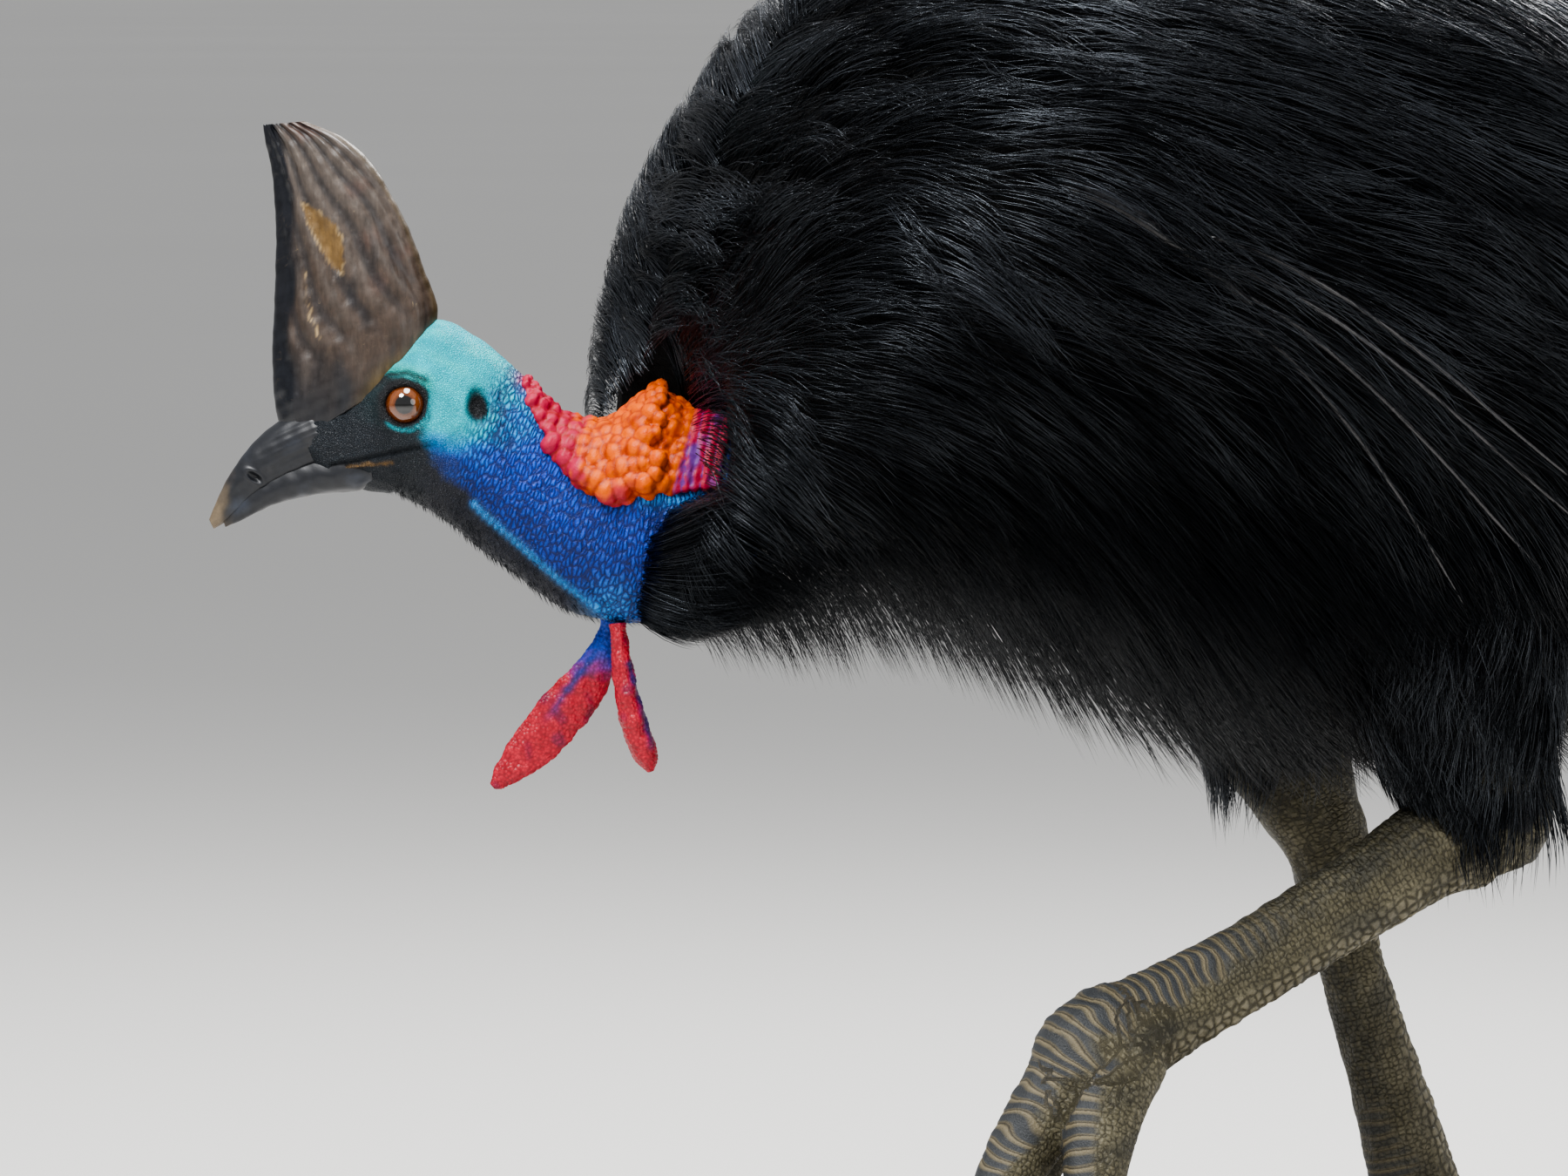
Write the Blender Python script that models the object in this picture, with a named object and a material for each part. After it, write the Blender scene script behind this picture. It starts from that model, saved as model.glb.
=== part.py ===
"""A southern cassowary, life size: a still model of the bird in a slow stride.

The bird faces -X with +Z up, and its left side is at -Y. Its neck and head swing
TURN degrees to its own right. It stands on its right foot, on a low flat base,
and its left foot is lifted. Sizes are in metres.
"""

import math
import random

import bmesh
import bpy
import numpy as np

MM = 0.001
UP = np.array((0.0, 0.0, 1.0))
FORWARD = np.array((-1.0, 0.0, 0.0))
# The space left between nodes, and the least distance between two points of a mesh.
GAP = 0.0003
WELD, SEAM_WELD = 0.00002, 0.00001
SHARP_ANGLE = 35
# The low slab that the bird stands on.
BASE_TOP = 0.025
BASE_LENGTH, BASE_WIDTH, BASE_ROUND = 0.60, 0.40, 0.05
BASE_CENTRE, BASE_SEGMENTS = (0.045, 0.0), 6
# The head's turn in degrees, and the place of the eyes.
TURN = 25.0
EYE_MID = (-0.513, 0.085, 0.657)
EYE_RADIUS, EYE_SIDE = 0.0155, 0.0175
EYE_SEGMENTS, EYE_RINGS = 10, 6
# Sides of each kind of round piece, and the stations between two rows.
HEAD_SIDES, CASQUE_SIDES, BILL_SIDES, WATTLE_SIDES = 16, 12, 10, 8
LIMB_SIDES, KNUCKLE_SIDES, CLAW_SIDES, THIGH_SIDES, CORE_SIDES = 12, 12, 8, 12, 20
STEPS = 2
# Name, colour and roughness of each material.
MATERIALS = [
    ("plumage", (0.010, 0.011, 0.013), 0.45),
    ("casque", (0.125, 0.090, 0.065), 0.45),
    ("bill", (0.035, 0.040, 0.045), 0.35),
    ("face", (0.050, 0.330, 0.380), 0.55),
    ("neck", (0.020, 0.080, 0.450), 0.60),
    ("caruncle", (0.850, 0.170, 0.010), 0.45),
    ("wattle", (0.560, 0.050, 0.080), 0.50),
    ("eye", (0.180, 0.050, 0.012), 0.10),
    ("leg", (0.180, 0.155, 0.100), 0.65),
    ("quill", (0.030, 0.028, 0.026), 0.35),
    ("claw", (0.050, 0.045, 0.040), 0.40),
    ("base", (0.100, 0.095, 0.090), 0.60),
]
# Head and neck stations, front to back: ahead and above of the eye for the top point and
# for the bottom point, offset and half width, all in millimetres, then the taper.
HEAD_ROWS = [
    (120, -71, 117, -77, 0, 2.5, 0.0),
    (113, -55, 105, -70, 0, 5.0, 0.0),
    (106, -42, 93, -59, 0, 7.5, 0.0),
    (94, -26, 78, -50, 0, 10.5, 0.0),
    (78, -12, 60, -43, 0, 14.0, 0.0),
    (60, -3, 43, -38, 0, 18.0, 0.0),
    (39, 6, 26, -34, 0, 22.0, 0.0),
    (19, 21, 14, -51, 0, 26.0, 0.1),
    (0, 36, 6, -55, 0, 29.0, 0.1),
    (-19, 50, -2, -59, 0, 31.0, 0.05),
    (-42, 40, -11, -64, 0, 32.0, 0.0),
    (-60, 26, -22, -71, 0, 32.0, 0.0),
    (-75, 12, -34, -80, 0, 32.0, 0.0),
    (-89, -4, -51, -94, 0, 32.0, 0.0),
    (-105, -16, -70, -108, 0, 32.5, 0.0),
    (-124, -17, -92, -124, 0, 34.0, 0.0),
    (-140, -8, -116, -132, 0, 36.0, 0.0),
    (-154, 1, -141, -134, 0, 38.0, 0.0),
    (-178, -4, -172, -120, 0, 36.0, 0.0),
]
BILL_END, HEAD_END = 5, 12
BILL_LOWER_ROWS = [
    (113, -72, 110, -76, 0, 2.0, 0.0),
    (105, -64, 98, -71, 0, 5.0, 0.0),
    (90, -51, 82, -63, 0, 7.5, 0.0),
    (66, -40, 59, -57, 0, 12.0, 0.0),
    (47, -33, 41, -55, 0, 16.0, 0.0),
    (29, -27, 24, -54, 0, 19.5, 0.0),
    (15, -22, 10, -52, 0, 21.0, 0.0),
]
# The rim of the lids, the ear's hollow, the nostril and the mouth's line behind the bill.
LID_RADIUS, LID_THICK, LID_SIDE = 0.0142, 0.0034, 0.0268
LID_SEGMENTS, LID_SIDES = 10, 5
EAR_PLACE, EAR_RADII, EAR_RINGS = (-45, -1, 35), (8, 9, 13), 4
NOSTRIL_PLACE, NOSTRIL_RADII, NOSTRIL_RINGS = (94, -47, 9.5), (7.5, 3, 3.2), 4
NOSTRIL_SLOPE, HOLLOW_SEGMENTS = 0.5, 8
MOUTH_LINE = [(30, -34, 22), (18, -31, 25), (5, -28, 28), (-8, -25, 30.5), (-19, -22, 32)]
MOUTH_GROOVE = 1.6
# Casque stations, base to tip: front point, back point, offset and half width.
CASQUE_ROWS = [
    (72, -27, -13, 25, 0, 19.0, -0.10),
    (79, -5, -19, 56, 0, 21.0, -0.15),
    (80, 27, -12, 79, 0, 18.5, -0.2),
    (79, 64, -3, 103, 0, 15.5, -0.2),
    (78, 101, 10, 129, 0, 12.5, -0.2),
    (80, 135, 25, 149, 0, 9.5, -0.2),
    (84, 156, 40, 161, 0, 7.0, -0.1),
    (86, 168, 61, 170, 0, 4.0, 0.0),
]
# Body stations, front to back: top point, bottom point, middle, half width and taper.
BODY_ROWS = [
    (-378, 650, -392, 530, 22, 48, 0.0),
    (-386, 692, -372, 519, 14, 98, 0.12),
    (-374, 748, -318, 535, 7, 152, 0.14),
    (-339, 828, -245, 543, 3, 196, 0.10),
    (-277, 912, -176, 532, 0, 226, 0.05),
    (-186, 966, -116, 508, 0, 240, 0.0),
    (-63, 991, -38, 474, 0, 245, -0.05),
    (58, 981, 60, 455, 0, 245, -0.05),
    (182, 938, 165, 462, 0, 232, -0.05),
    (295, 855, 270, 470, 0, 205, -0.03),
    (391, 750, 365, 480, 0, 160, 0.0),
    (457, 643, 440, 492, 0, 100, 0.0),
    (488, 575, 484, 530, 0, 30, 0.0),
]
RUMP_START = 9
# Leg stations: place, half width and half depth, in millimetres.
THIGH_LEFT = [
    (70, -125, 600, 62, 92),
    (95, -122, 520, 60, 78),
    (108, -118, 462, 52, 64),
    (126, -113, 412, 38, 46),
]
THIGH_RIGHT = [
    (35, 122, 600, 62, 92),
    (70, 116, 520, 60, 76),
    (88, 110, 470, 50, 60),
    (98, 106, 436, 40, 52),
]
SHANK_LEFT = [
    (75, -120, 500, 32, 40),
    (104, -115, 450, 31, 39),
    (124, -111, 412, 31, 42),
    (134, -110, 386, 29, 40),
    (140, -110, 364, 18, 22),
]
SHANK_RIGHT = [
    (68, 109, 500, 32, 42),
    (100, 104, 425, 31, 44),
    (112, 101, 395, 28, 36),
    (126, 96, 362, 25, 28),
    (133, 93, 338, 25, 28),
    (138, 92, 318, 20, 23),
]
TARSUS_LEFT = [
    (118, -110, 386, 26, 34),
    (87, -110, 377, 25, 31),
    (43, -110, 353, 22, 28),
    (2, -110, 332, 21, 27),
    (-41, -110, 310, 21, 27),
    (-88, -110, 288, 23, 29),
    (-122, -110, 273, 28, 33),
]
TARSUS_RIGHT = [
    (134, 93, 335, 23, 26),
    (137, 92, 305, 20, 21),
    (142, 91, 280, 20, 21),
    (164, 89, 213, 21, 24),
    (181, 87, 157, 23, 28),
    (198, 86, 100, 26, 29),
    (206, 85, 74, 23, 26),
]
# Toe stations from the knuckle to the claw's root, and claw stations.
TOES = {
    "foot_left": {
        "middle": [(-128, -110, 270, 30, 34), (-152, -109, 252, 26, 30), (-180, -107, 220, 21, 23),
                   (-203, -105, 182, 19, 19), (-214, -103, 150, 16, 15), (-216, -102, 126, 11, 11)],
        "outer": [(-126, -118, 262, 24, 28), (-146, -130, 232, 21, 25), (-158, -141, 196, 18, 20),
                  (-162, -147, 168, 14, 15), (-160, -150, 148, 9, 10)],
        "inner": [(-126, -102, 262, 24, 28), (-146, -88, 232, 20, 23), (-160, -78, 202, 17, 18),
                  (-166, -74, 180, 12, 13)],
    },
    "foot_right": {
        "middle": [(214, 85, 66, 29, 32), (180, 84, 56, 25, 28), (140, 82, 45, 21, 21),
                   (98, 80, 41, 19, 18), (66, 78, 38, 16, 15), (44, 77, 36, 11, 11)],
        "outer": [(210, 92, 62, 24, 28), (178, 108, 50, 20, 24), (144, 124, 42, 17, 18),
                  (116, 137, 38, 14, 14), (98, 145, 35, 9, 10)],
        "inner": [(210, 78, 62, 24, 28), (180, 60, 50, 20, 24), (152, 46, 42, 17, 18),
                  (132, 38, 38, 12, 13)],
    },
}
CLAWS = {
    "foot_left": {
        "middle": [(-216, -102, 134, 9, 9), (-213, -101, 108, 7.5, 8), (-204, -100, 86, 1, 1.2)],
        "outer": [(-161, -149, 156, 8, 8), (-156, -151, 134, 6, 6.5), (-148, -152, 118, 1, 1.2)],
        "inner": [(-164, -75, 188, 9, 10), (-166, -69, 150, 8, 9), (-158, -64, 108, 4.5, 5),
                  (-146, -62, 84, 0.8, 1)],
    },
    "foot_right": {
        "middle": [(52, 77, 37, 9, 9), (28, 76, 36, 7.5, 8), (2, 75, 29, 1, 1.2)],
        "outer": [(104, 142, 36, 8, 8), (86, 149, 35, 6, 6.5), (68, 155, 28.5, 1, 1.2)],
        "inner": [(142, 42, 39, 9, 10), (108, 26, 38, 8, 9), (66, 10, 34, 4.5, 5),
                  (36, 0, 29, 0.8, 1)],
    },
}
# Which way the top of the toes faces on each foot.
TOE_TOP = {"foot_left": FORWARD, "foot_right": UP}
# Plates across the front of the lower legs and the tops of the toes: first and last
# place, number, and how far each reaches to the side in degrees.
SCUTES = {
    "tarsus": (2.1, 5.3, 5, 62),
    "middle": (1.0, 4.1, 3, 62),
    "outer": (1.0, 3.1, 2, 62),
    "inner": (1.0, 2.0, 1, 62),
}
SCUTE_SINK, SCUTE_RISE, SCUTE_COVER = 0.0015, 0.0019, 0.46
SCUTE_SHAPE = [(-1.0, 0.3), (-0.4, 1.0), (0.4, 1.0), (1.0, 0.3)]
# The knuckle where the toes meet: place, half width and half depth, in millimetres.
KNUCKLES = {
    "foot_left": [(-112, -110, 281, 22, 26), (-128, -110, 272, 30, 35), (-146, -110, 256, 33, 38),
                  (-160, -110, 238, 26, 30)],
    "foot_right": [(204, 85, 92, 22, 25), (210, 85, 72, 29, 33), (208, 85, 55, 32, 38),
                   (200, 85, 42, 26, 34)],
}
# Wattle stations in the head's frame: ahead, above and to the left of the eye.
WATTLES = {
    "wattle_left": [(-128, -134, 8, 5, 6), (-129, -145, 9, 5, 7), (-131, -160, 10, 6, 9),
                    (-134, -178, 11, 7, 12), (-139, -198, 11, 8, 13), (-145, -214, 11, 7, 10),
                    (-148, -224, 11, 2, 3)],
    "wattle_right": [(-124, -132, -7, 6, 5), (-120, -148, -9, 7, 5), (-110, -170, -12, 13, 4),
                     (-93, -191, -14, 15, 4), (-74, -213, -15, 13, 3.5), (-58, -229, -15, 7, 3),
                     (-51, -235, -15, 2, 2)],
}
# The comb of bulbs on the hind neck: place along the neck, how far its bulbs reach round
# it in degrees, their spacing, radius and height, front to back.
CARUNCLE_ROWS = [
    (13.6, 0, 30, 8, 6),
    (14.4, 30, 30, 9, 7),
    (15.2, 60, 30, 11, 9),
    (16.1, 66, 26, 12, 12),
    (17.0, 66, 26, 12, 15),
]
BULB_STRETCH, BULB_SEGMENTS, BULB_RINGS = 1.15, 6, 4
# Small wings, laid on the flank: place along the body, angle from the back, depth, half
# width and half thickness of the arm, and the two ends of each bare quill.
WING_ARM = [(4.4, 70, -8, 9, 6), (4.7, 77, -4, 12, 8), (5.1, 86, -2, 11, 7), (5.5, 94, -1, 6, 4)]
WING_QUILLS = [(5.3, 84, 7.5, 112), (5.35, 88, 7.7, 120), (5.4, 92, 7.5, 127), (5.4, 96, 7.1, 134)]
QUILL_RADIUS, QUILL_STEPS, QUILL_TAPER, QUILL_SIDES = 2.4, 5, 0.6, 4
QUILL_REST, QUILL_BOW, ARM_SIDES = 1.0, 1.5, 8
# Feather locks of the body: rows from front to back, how many lie on each side, how far
# each runs back in rows and falls round the body in degrees, and its half width.
LOCK_ROWS = [
    (0.3, 5, 2.5, 12, 22),
    (1.2, 4, 2.4, 20, 34),
    (2.1, 5, 2.0, 30, 38),
    (3.1, 5, 1.8, 34, 44),
    (4.1, 5, 1.7, 36, 48),
    (5.1, 5, 1.7, 36, 50),
    (6.1, 5, 1.7, 34, 50),
    (7.1, 5, 1.7, 34, 48),
    (8.0, 5, 1.7, 34, 44),
    (9.3, 5, 1.5, 30, 38),
    (10.3, 3, 1.4, 22, 34),
    (11.0, 2, 1.0, 20, 30),
]
# Along a lock: share of its length, depth in the coat, share of its width, thickness.
LOCK_SHAPE = [(0.0, -34, 0.6, 8), (0.3, -15, 1.0, 9), (0.65, -6, 0.85, 6), (1.0, 2, 0.0, 0)]
# How many times the gap a lock grows by in a cutter.
LOCK_GROWTH = 2
# The angles where the coat parts and ends, how far the tips hang under the body, the row
# from which they hang in full, and how much lower they hang at the tail.
PARTING, LOCK_LAST, LOWEST_ANGLE = 7, 160, 178
LOCK_DROOP, FULL_DROOP_ROW, TAIL_DROOP = 30, 6, 26
LOCK_SEED, ANGLE_SPREAD, START_SPREAD, LENGTH_SPREAD = 32, 3, 0.15, 0.1
BODY_END = 1.2
# Depth of the core under the coat, which grows over the first rows.
CORE_DEPTH, CORE_RAMP, CORE_NARROW = 24, 4, 0.1
RUMP_OVERLAP = 0.06
# Locks of the feathered thighs: place, number round the thigh, length in rows, half width.
THIGH_LOCKS = [(1.0, 5, 1.5, 30), (1.7, 4, 1.5, 30)]
THIGH_CORE_DEPTH, THIGH_HANG, THIGH_COAT, THIGH_TURN = 9, 34, 0.45, 0.1
THIGH_SEED, THIGH_LOCK_THICK = 11, 0.8
# The body's coat that meets a leg: rows of its core, and how near and low its locks are.
CUT_ROWS, CUT_REACH, CUT_TOP = (4, 10), 0.21, 0.68
# How far the body's locks stay from a leg, under a height.
LEG_CLEARANCE, LEG_LEVEL, LEG_TOP = 66, 0.04, 0.50


def unit(vector):
    vector = np.asarray(vector, float)
    return vector / np.linalg.norm(vector)


class Frame:
    """A place with its own forward, side and up directions."""

    def __init__(self, origin, forward, side):
        self.origin = np.asarray(origin, float)
        self.forward = unit(forward)
        self.side = unit(side)

    def point(self, ahead, height, aside=0.0):
        return self.origin + self.forward * ahead + UP * height + self.side * aside


BODY = Frame((0.0, 0.0, 0.0), (1.0, 0.0, 0.0), (0.0, 1.0, 0.0))
turn = math.radians(TURN)
HEAD = Frame(EYE_MID, (-math.cos(turn), math.sin(turn), 0.0),
             (-math.sin(turn), -math.cos(turn), 0.0))



def clear_scene():
    for item in list(bpy.data.objects):
        bpy.data.objects.remove(item)


def make_material(name, colour, roughness, metallic=0.0):
    material = bpy.data.materials.new(name)
    material.use_nodes = True
    shader = material.node_tree.nodes["Principled BSDF"]
    shader.inputs["Base Color"].default_value = (*colour, 1.0)
    shader.inputs["Roughness"].default_value = roughness
    shader.inputs["Metallic"].default_value = metallic
    return material


def curve_row(p0, p1, p2, p3, t):
    """The row at t between p1 and p2, on a Catmull-Rom curve through each column."""
    return 0.5 * (2 * p1 + (p2 - p0) * t + (2 * p0 - 5 * p1 + 4 * p2 - p3) * t ** 2
                  + (3 * p1 - p0 - 3 * p2 + p3) * t ** 3)


def smooth_rows(rows, steps):
    """Rows with more between them."""
    rows = np.asarray(rows, float)
    padded = np.vstack([2 * rows[0] - rows[1], rows, 2 * rows[-1] - rows[-2]])
    out = [curve_row(*padded[i:i + 4], k / steps)
           for i in range(len(rows) - 1) for k in range(steps)]
    out.append(rows[-1])
    return np.array(out)


def scaled(rows):
    """Rows given in millimetres, in metres; the taper in the last column is a ratio."""
    rows = np.array(rows, float)
    rows[:, :6] *= MM
    return rows


def row_at(rows, place):
    """The smoothed row at a place counted in rows."""
    first = max(0, min(int(place), len(rows) - 2))
    padded = np.vstack([2 * rows[0] - rows[1], rows, 2 * rows[-1] - rows[-2]])
    return curve_row(*padded[first:first + 4], min(place - first, 1.0))


def mesh_object(name, points, faces):
    mesh = bpy.data.meshes.new(name)
    mesh.from_pydata([tuple(p) for p in points], [], faces)
    work = bmesh.new()
    work.from_mesh(mesh)
    bmesh.ops.remove_doubles(work, verts=work.verts, dist=WELD)
    bmesh.ops.recalc_face_normals(work, faces=work.faces)
    work.to_mesh(mesh)
    work.free()
    item = bpy.data.objects.new(name, mesh)
    bpy.context.collection.objects.link(item)
    return item


def skin_rings(name, rings):
    """A closed body through rings of equal count, with a flat face at each end. Every
    diagonal leans the same way, so that a thin twisted wall stays clear of the one behind
    it, and a grown copy stays clear of its original."""
    count = len(rings[0])
    points = [p for ring in rings for p in ring]
    faces = []
    for i in range(len(rings) - 1):
        for k in range(count):
            a, b = i * count + k, i * count + (k + 1) % count
            low, high = min(a, b), max(a, b)
            faces.append((low, high, high + count))
            faces.append((low, high + count, low + count))
    faces.append(tuple(range(count)))
    faces.append(tuple(range(len(points) - count, len(points))))
    return mesh_object(name, points, faces)


def ring_point(frame, row, angle, grow=0.0):
    """A point on the ring of one station, and the way out of the body there."""
    top = frame.point(row[0], row[1], row[4])
    bottom = frame.point(row[2], row[3], row[4])
    rise = unit(top - bottom)
    half = np.linalg.norm(top - bottom) / 2 + grow
    width = (row[5] + grow) * (1 + row[6] * math.cos(angle))
    point = (top + bottom) / 2 + rise * half * math.cos(angle) + frame.side * width * math.sin(angle)
    out = rise * math.cos(angle) / half + frame.side * math.sin(angle) / width
    return point, unit(out)


def profile_rings(frame, stations, sides, grow=0.0, pull=(0.0, 0.0)):
    """Rings through stations of a top point, a bottom point, an offset to the side, a half
    width, and how much wider the upper half is than the lower. The end rings are pulled
    inwards along the body."""
    angles = [math.tau * k / sides for k in range(sides)]
    rings = [np.array([ring_point(frame, row, angle, grow)[0] for angle in angles])
             for row in stations]
    first = unit(rings[1].mean(axis=0) - rings[0].mean(axis=0))
    last = unit(rings[-1].mean(axis=0) - rings[-2].mean(axis=0))
    rings[0] = rings[0] + first * (pull[0] - grow)
    rings[-1] = rings[-1] - last * (pull[1] - grow)
    return rings


def limb_rings(rows, sides, steps, ahead, grow=0.0):
    """Rings along a path of points with a half width and a half depth; ahead is the
    direction that the depth is measured in."""
    stations = smooth_rows(rows, steps)
    centres = stations[:, :3]
    along = np.gradient(centres, axis=0)
    rings = []
    for centre, tangent, (half_side, half_depth) in zip(centres, along, stations[:, 3:5]):
        tangent = unit(tangent)
        side = unit(np.cross(ahead, tangent))
        depth = np.cross(tangent, side)
        ring = []
        for k in range(sides):
            angle = math.tau * k / sides
            ring.append(centre + depth * (half_depth + grow) * math.cos(angle)
                        + side * (half_side + grow) * math.sin(angle))
        rings.append(np.array(ring))
    rings[0] = rings[0] - unit(along[0]) * grow
    rings[-1] = rings[-1] + unit(along[-1]) * grow
    return rings


def limb_point(rows, place, angle, ahead, grow=0.0):
    """A point on the skin of a limb, and the way out of it there."""
    before, row, after = (row_at(rows, max(0.0, place + step)) for step in (-0.1, 0.0, 0.1))
    tangent = unit(after[:3] - before[:3])
    side = unit(np.cross(ahead, tangent))
    depth = np.cross(tangent, side)
    point = (row[:3] + depth * (row[4] + grow) * math.cos(angle)
             + side * (row[3] + grow) * math.sin(angle))
    out = depth * math.cos(angle) / row[4] + side * math.sin(angle) / row[3]
    return point, unit(out)


def ellipsoid(name, centre, axes, radii, segments, rows):
    """An ellipsoid whose radii lie along three given directions."""
    points = []
    for i in range(rows + 1):
        polar = math.pi * i / rows
        for k in range(segments):
            angle = math.tau * k / segments
            local = (math.sin(polar) * math.cos(angle), math.sin(polar) * math.sin(angle),
                     math.cos(polar))
            points.append(sum((axes[n] * radii[n] * local[n] for n in range(3)),
                              np.asarray(centre, float)))
    faces = []
    for i in range(rows):
        for k in range(segments):
            a, b = i * segments + k, i * segments + (k + 1) % segments
            faces.append((a, b, b + segments, a + segments))
    return mesh_object(name, points, faces)


def boolean(item, operation, tools):
    """Joins, cuts or keeps the common part of item and the tools, which are used up."""
    group = bpy.data.collections.new("tools")
    for tool in tools:
        bpy.context.collection.objects.unlink(tool)
        group.objects.link(tool)
    change = item.modifiers.new("change", "BOOLEAN")
    change.operation = operation
    change.solver = "EXACT"
    change.operand_type = "COLLECTION"
    change.collection = group
    bpy.context.scene.collection.children.link(group)
    bpy.context.view_layer.update()
    depsgraph = bpy.context.evaluated_depsgraph_get()
    result = bpy.data.meshes.new_from_object(item.evaluated_get(depsgraph))
    item.modifiers.clear()
    item.data = result
    for tool in list(group.objects):
        bpy.data.objects.remove(tool)
    bpy.data.collections.remove(group)


def largest_surface(item):
    """Keeps only the largest closed surface of a mesh, and cleans its seams."""
    work = bmesh.new()
    work.from_mesh(item.data)
    bmesh.ops.remove_doubles(work, verts=work.verts, dist=SEAM_WELD)
    bmesh.ops.dissolve_degenerate(work, edges=work.edges, dist=SEAM_WELD)
    groups, seen = [], set()
    for start in work.faces:
        if start in seen:
            continue
        seen.add(start)
        group, queue = [], [start]
        while queue:
            face = queue.pop()
            group.append(face)
            for edge in face.edges:
                if len(edge.link_faces) != 2:
                    continue
                for other in edge.link_faces:
                    if other not in seen:
                        seen.add(other)
                        queue.append(other)
        groups.append(group)
    groups.sort(key=len)
    for group in groups[:-1]:
        bmesh.ops.delete(work, geom=group, context="FACES")
    bmesh.ops.triangulate(work, faces=[f for f in work.faces if len(f.verts) > 4])
    work.to_mesh(item.data)
    work.free()


def finish(item, material):
    item.data.materials.clear()
    item.data.materials.append(material)
    item.data.shade_smooth()
    item.data.set_sharp_from_angle(angle=math.radians(SHARP_ANGLE))


def loft(name, frame, rows, sides, first=0, last=None, grow=0.0, steps=STEPS):
    """The body through rows first to last, with half the gap left at a cut end."""
    last = len(rows) - 1 if last is None else last
    stations = smooth_rows(scaled(rows), steps)[first * steps:last * steps + 1]
    pull = (GAP / 2 if first > 0 else 0.0, GAP / 2 if last < len(rows) - 1 else 0.0)
    return skin_rings(name, profile_rings(frame, stations, sides, grow, pull))


def limb(name, rows, sides=LIMB_SIDES, steps=STEPS, ahead=FORWARD, grow=0.0):
    return skin_rings(name, limb_rings(np.array(rows) * MM, sides, steps, np.array(ahead), grow))


def wattle(name, grow=0.0):
    rows = []
    for ahead, height, aside, depth, width in WATTLES[name]:
        place = HEAD.point(ahead * MM, height * MM, aside * MM)
        rows.append((*place, width * MM, depth * MM))
    return skin_rings(name, limb_rings(rows, WATTLE_SIDES, STEPS, -HEAD.forward, grow))


def neck_cutter():
    return loft("grown", HEAD, HEAD_ROWS, HEAD_SIDES, HEAD_END - 3, None, GAP, 1)


def caruncle_bulbs(grow=0.0):
    """Bulbs set round the hind neck, in rows that alternate."""
    rows = scaled(HEAD_ROWS)
    bulbs = []
    for index, (place, reach, spacing, radius, height) in enumerate(CARUNCLE_ROWS):
        count = int(2 * reach / spacing) + 1
        for k in range(count):
            angle = math.radians(-reach + spacing * (k + 0.5 * (index % 2)) * (count > 1))
            point, out = ring_point(HEAD, row_at(rows, place), angle)
            round_neck = unit(np.cross(out, HEAD.forward))
            axes = (unit(np.cross(round_neck, out)), round_neck, out)
            radii = [size * MM + grow for size in (radius, radius * BULB_STRETCH, height)]
            bulbs.append(ellipsoid("bulb", point, axes, radii, BULB_SEGMENTS, BULB_RINGS))
    return bulbs


def lock(path, grow=0.0):
    """A flat tapered lock with a ridge on top, through points with a way out, a half
    width and a thickness. A grown lock has blunt edges, so that it holds the thin ones."""
    points = np.array([step[0] for step in path])
    along = np.gradient(points, axis=0)
    more = LOCK_GROWTH * grow
    rings = []
    for (point, out, half_width, thickness), tangent in zip(path, along):
        side = unit(np.cross(out, unit(tangent)))
        up = unit(np.cross(unit(tangent), side))
        left, right = point - (half_width + more) * side, point + (half_width + more) * side
        ring = [left, point + (thickness + more) * up, right]
        if grow:
            ring = [left - more * up, left + more * up, ring[1], right + more * up,
                    right - more * up]
        rings.append(np.array(ring))
    rings[0] = rings[0] - more * unit(along[0])
    rings[-1] = rings[-1] + more * unit(along[-1])
    return skin_rings("lock", rings)


def body_locks(grow=0.0, wanted=None, first=0, last=99):
    """Locks laid in rows over the body, which part along the back and fall to each side."""
    rows = scaled(BODY_ROWS)
    chance = random.Random(LOCK_SEED)
    locks = []
    for index, (place, count, length, fall, width) in enumerate(LOCK_ROWS):
        step = (LOCK_LAST - PARTING) / (count - 0.5)
        for k in range(count):
            for sign in (-1, 1):
                angle = PARTING + step * (k + 0.5 * (index % 2))
                angle += chance.uniform(-ANGLE_SPREAD, ANGLE_SPREAD)
                start = place + chance.uniform(-START_SPREAD, START_SPREAD)
                reach = length * chance.uniform(1 - LENGTH_SPREAD, 1 + LENGTH_SPREAD)
                path = []
                for share, depth, wide, thick in LOCK_SHAPE:
                    row = row_at(rows, min(start + reach * share, len(rows) - BODY_END))
                    turned = math.radians(min(angle + fall * share, LOWEST_ANGLE))
                    depth *= min(1.0, row[5] / CORE_NARROW)
                    point, out = ring_point(BODY, row, sign * turned, depth * MM)
                    hang = min(1.0, place / FULL_DROOP_ROW) * max(0.0, -math.cos(turned))
                    droop = LOCK_DROOP * hang + TAIL_DROOP * max(0.0, place - RUMP_START)
                    point[2] -= droop * share ** 2 * MM
                    path.append((point, out, width * wide * MM, thick * MM))
                if not first <= place < last or near_leg(path) or (wanted and not wanted(path)):
                    continue
                locks.append(lock(path, grow))
    return locks


def near_leg(path):
    """Whether a lock would run into a leg under the body."""
    for axis_rows in (THIGH_LEFT, THIGH_RIGHT):
        for x, y, z, *_ in axis_rows[1:]:
            for point, _, _, _ in path[1:]:
                level = abs(point[2] - z * MM) < LEG_LEVEL and point[2] < LEG_TOP
                aside = math.hypot(point[0] - x * MM, point[1] - y * MM)
                if level and aside < LEG_CLEARANCE * MM:
                    return True
    return False


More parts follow.
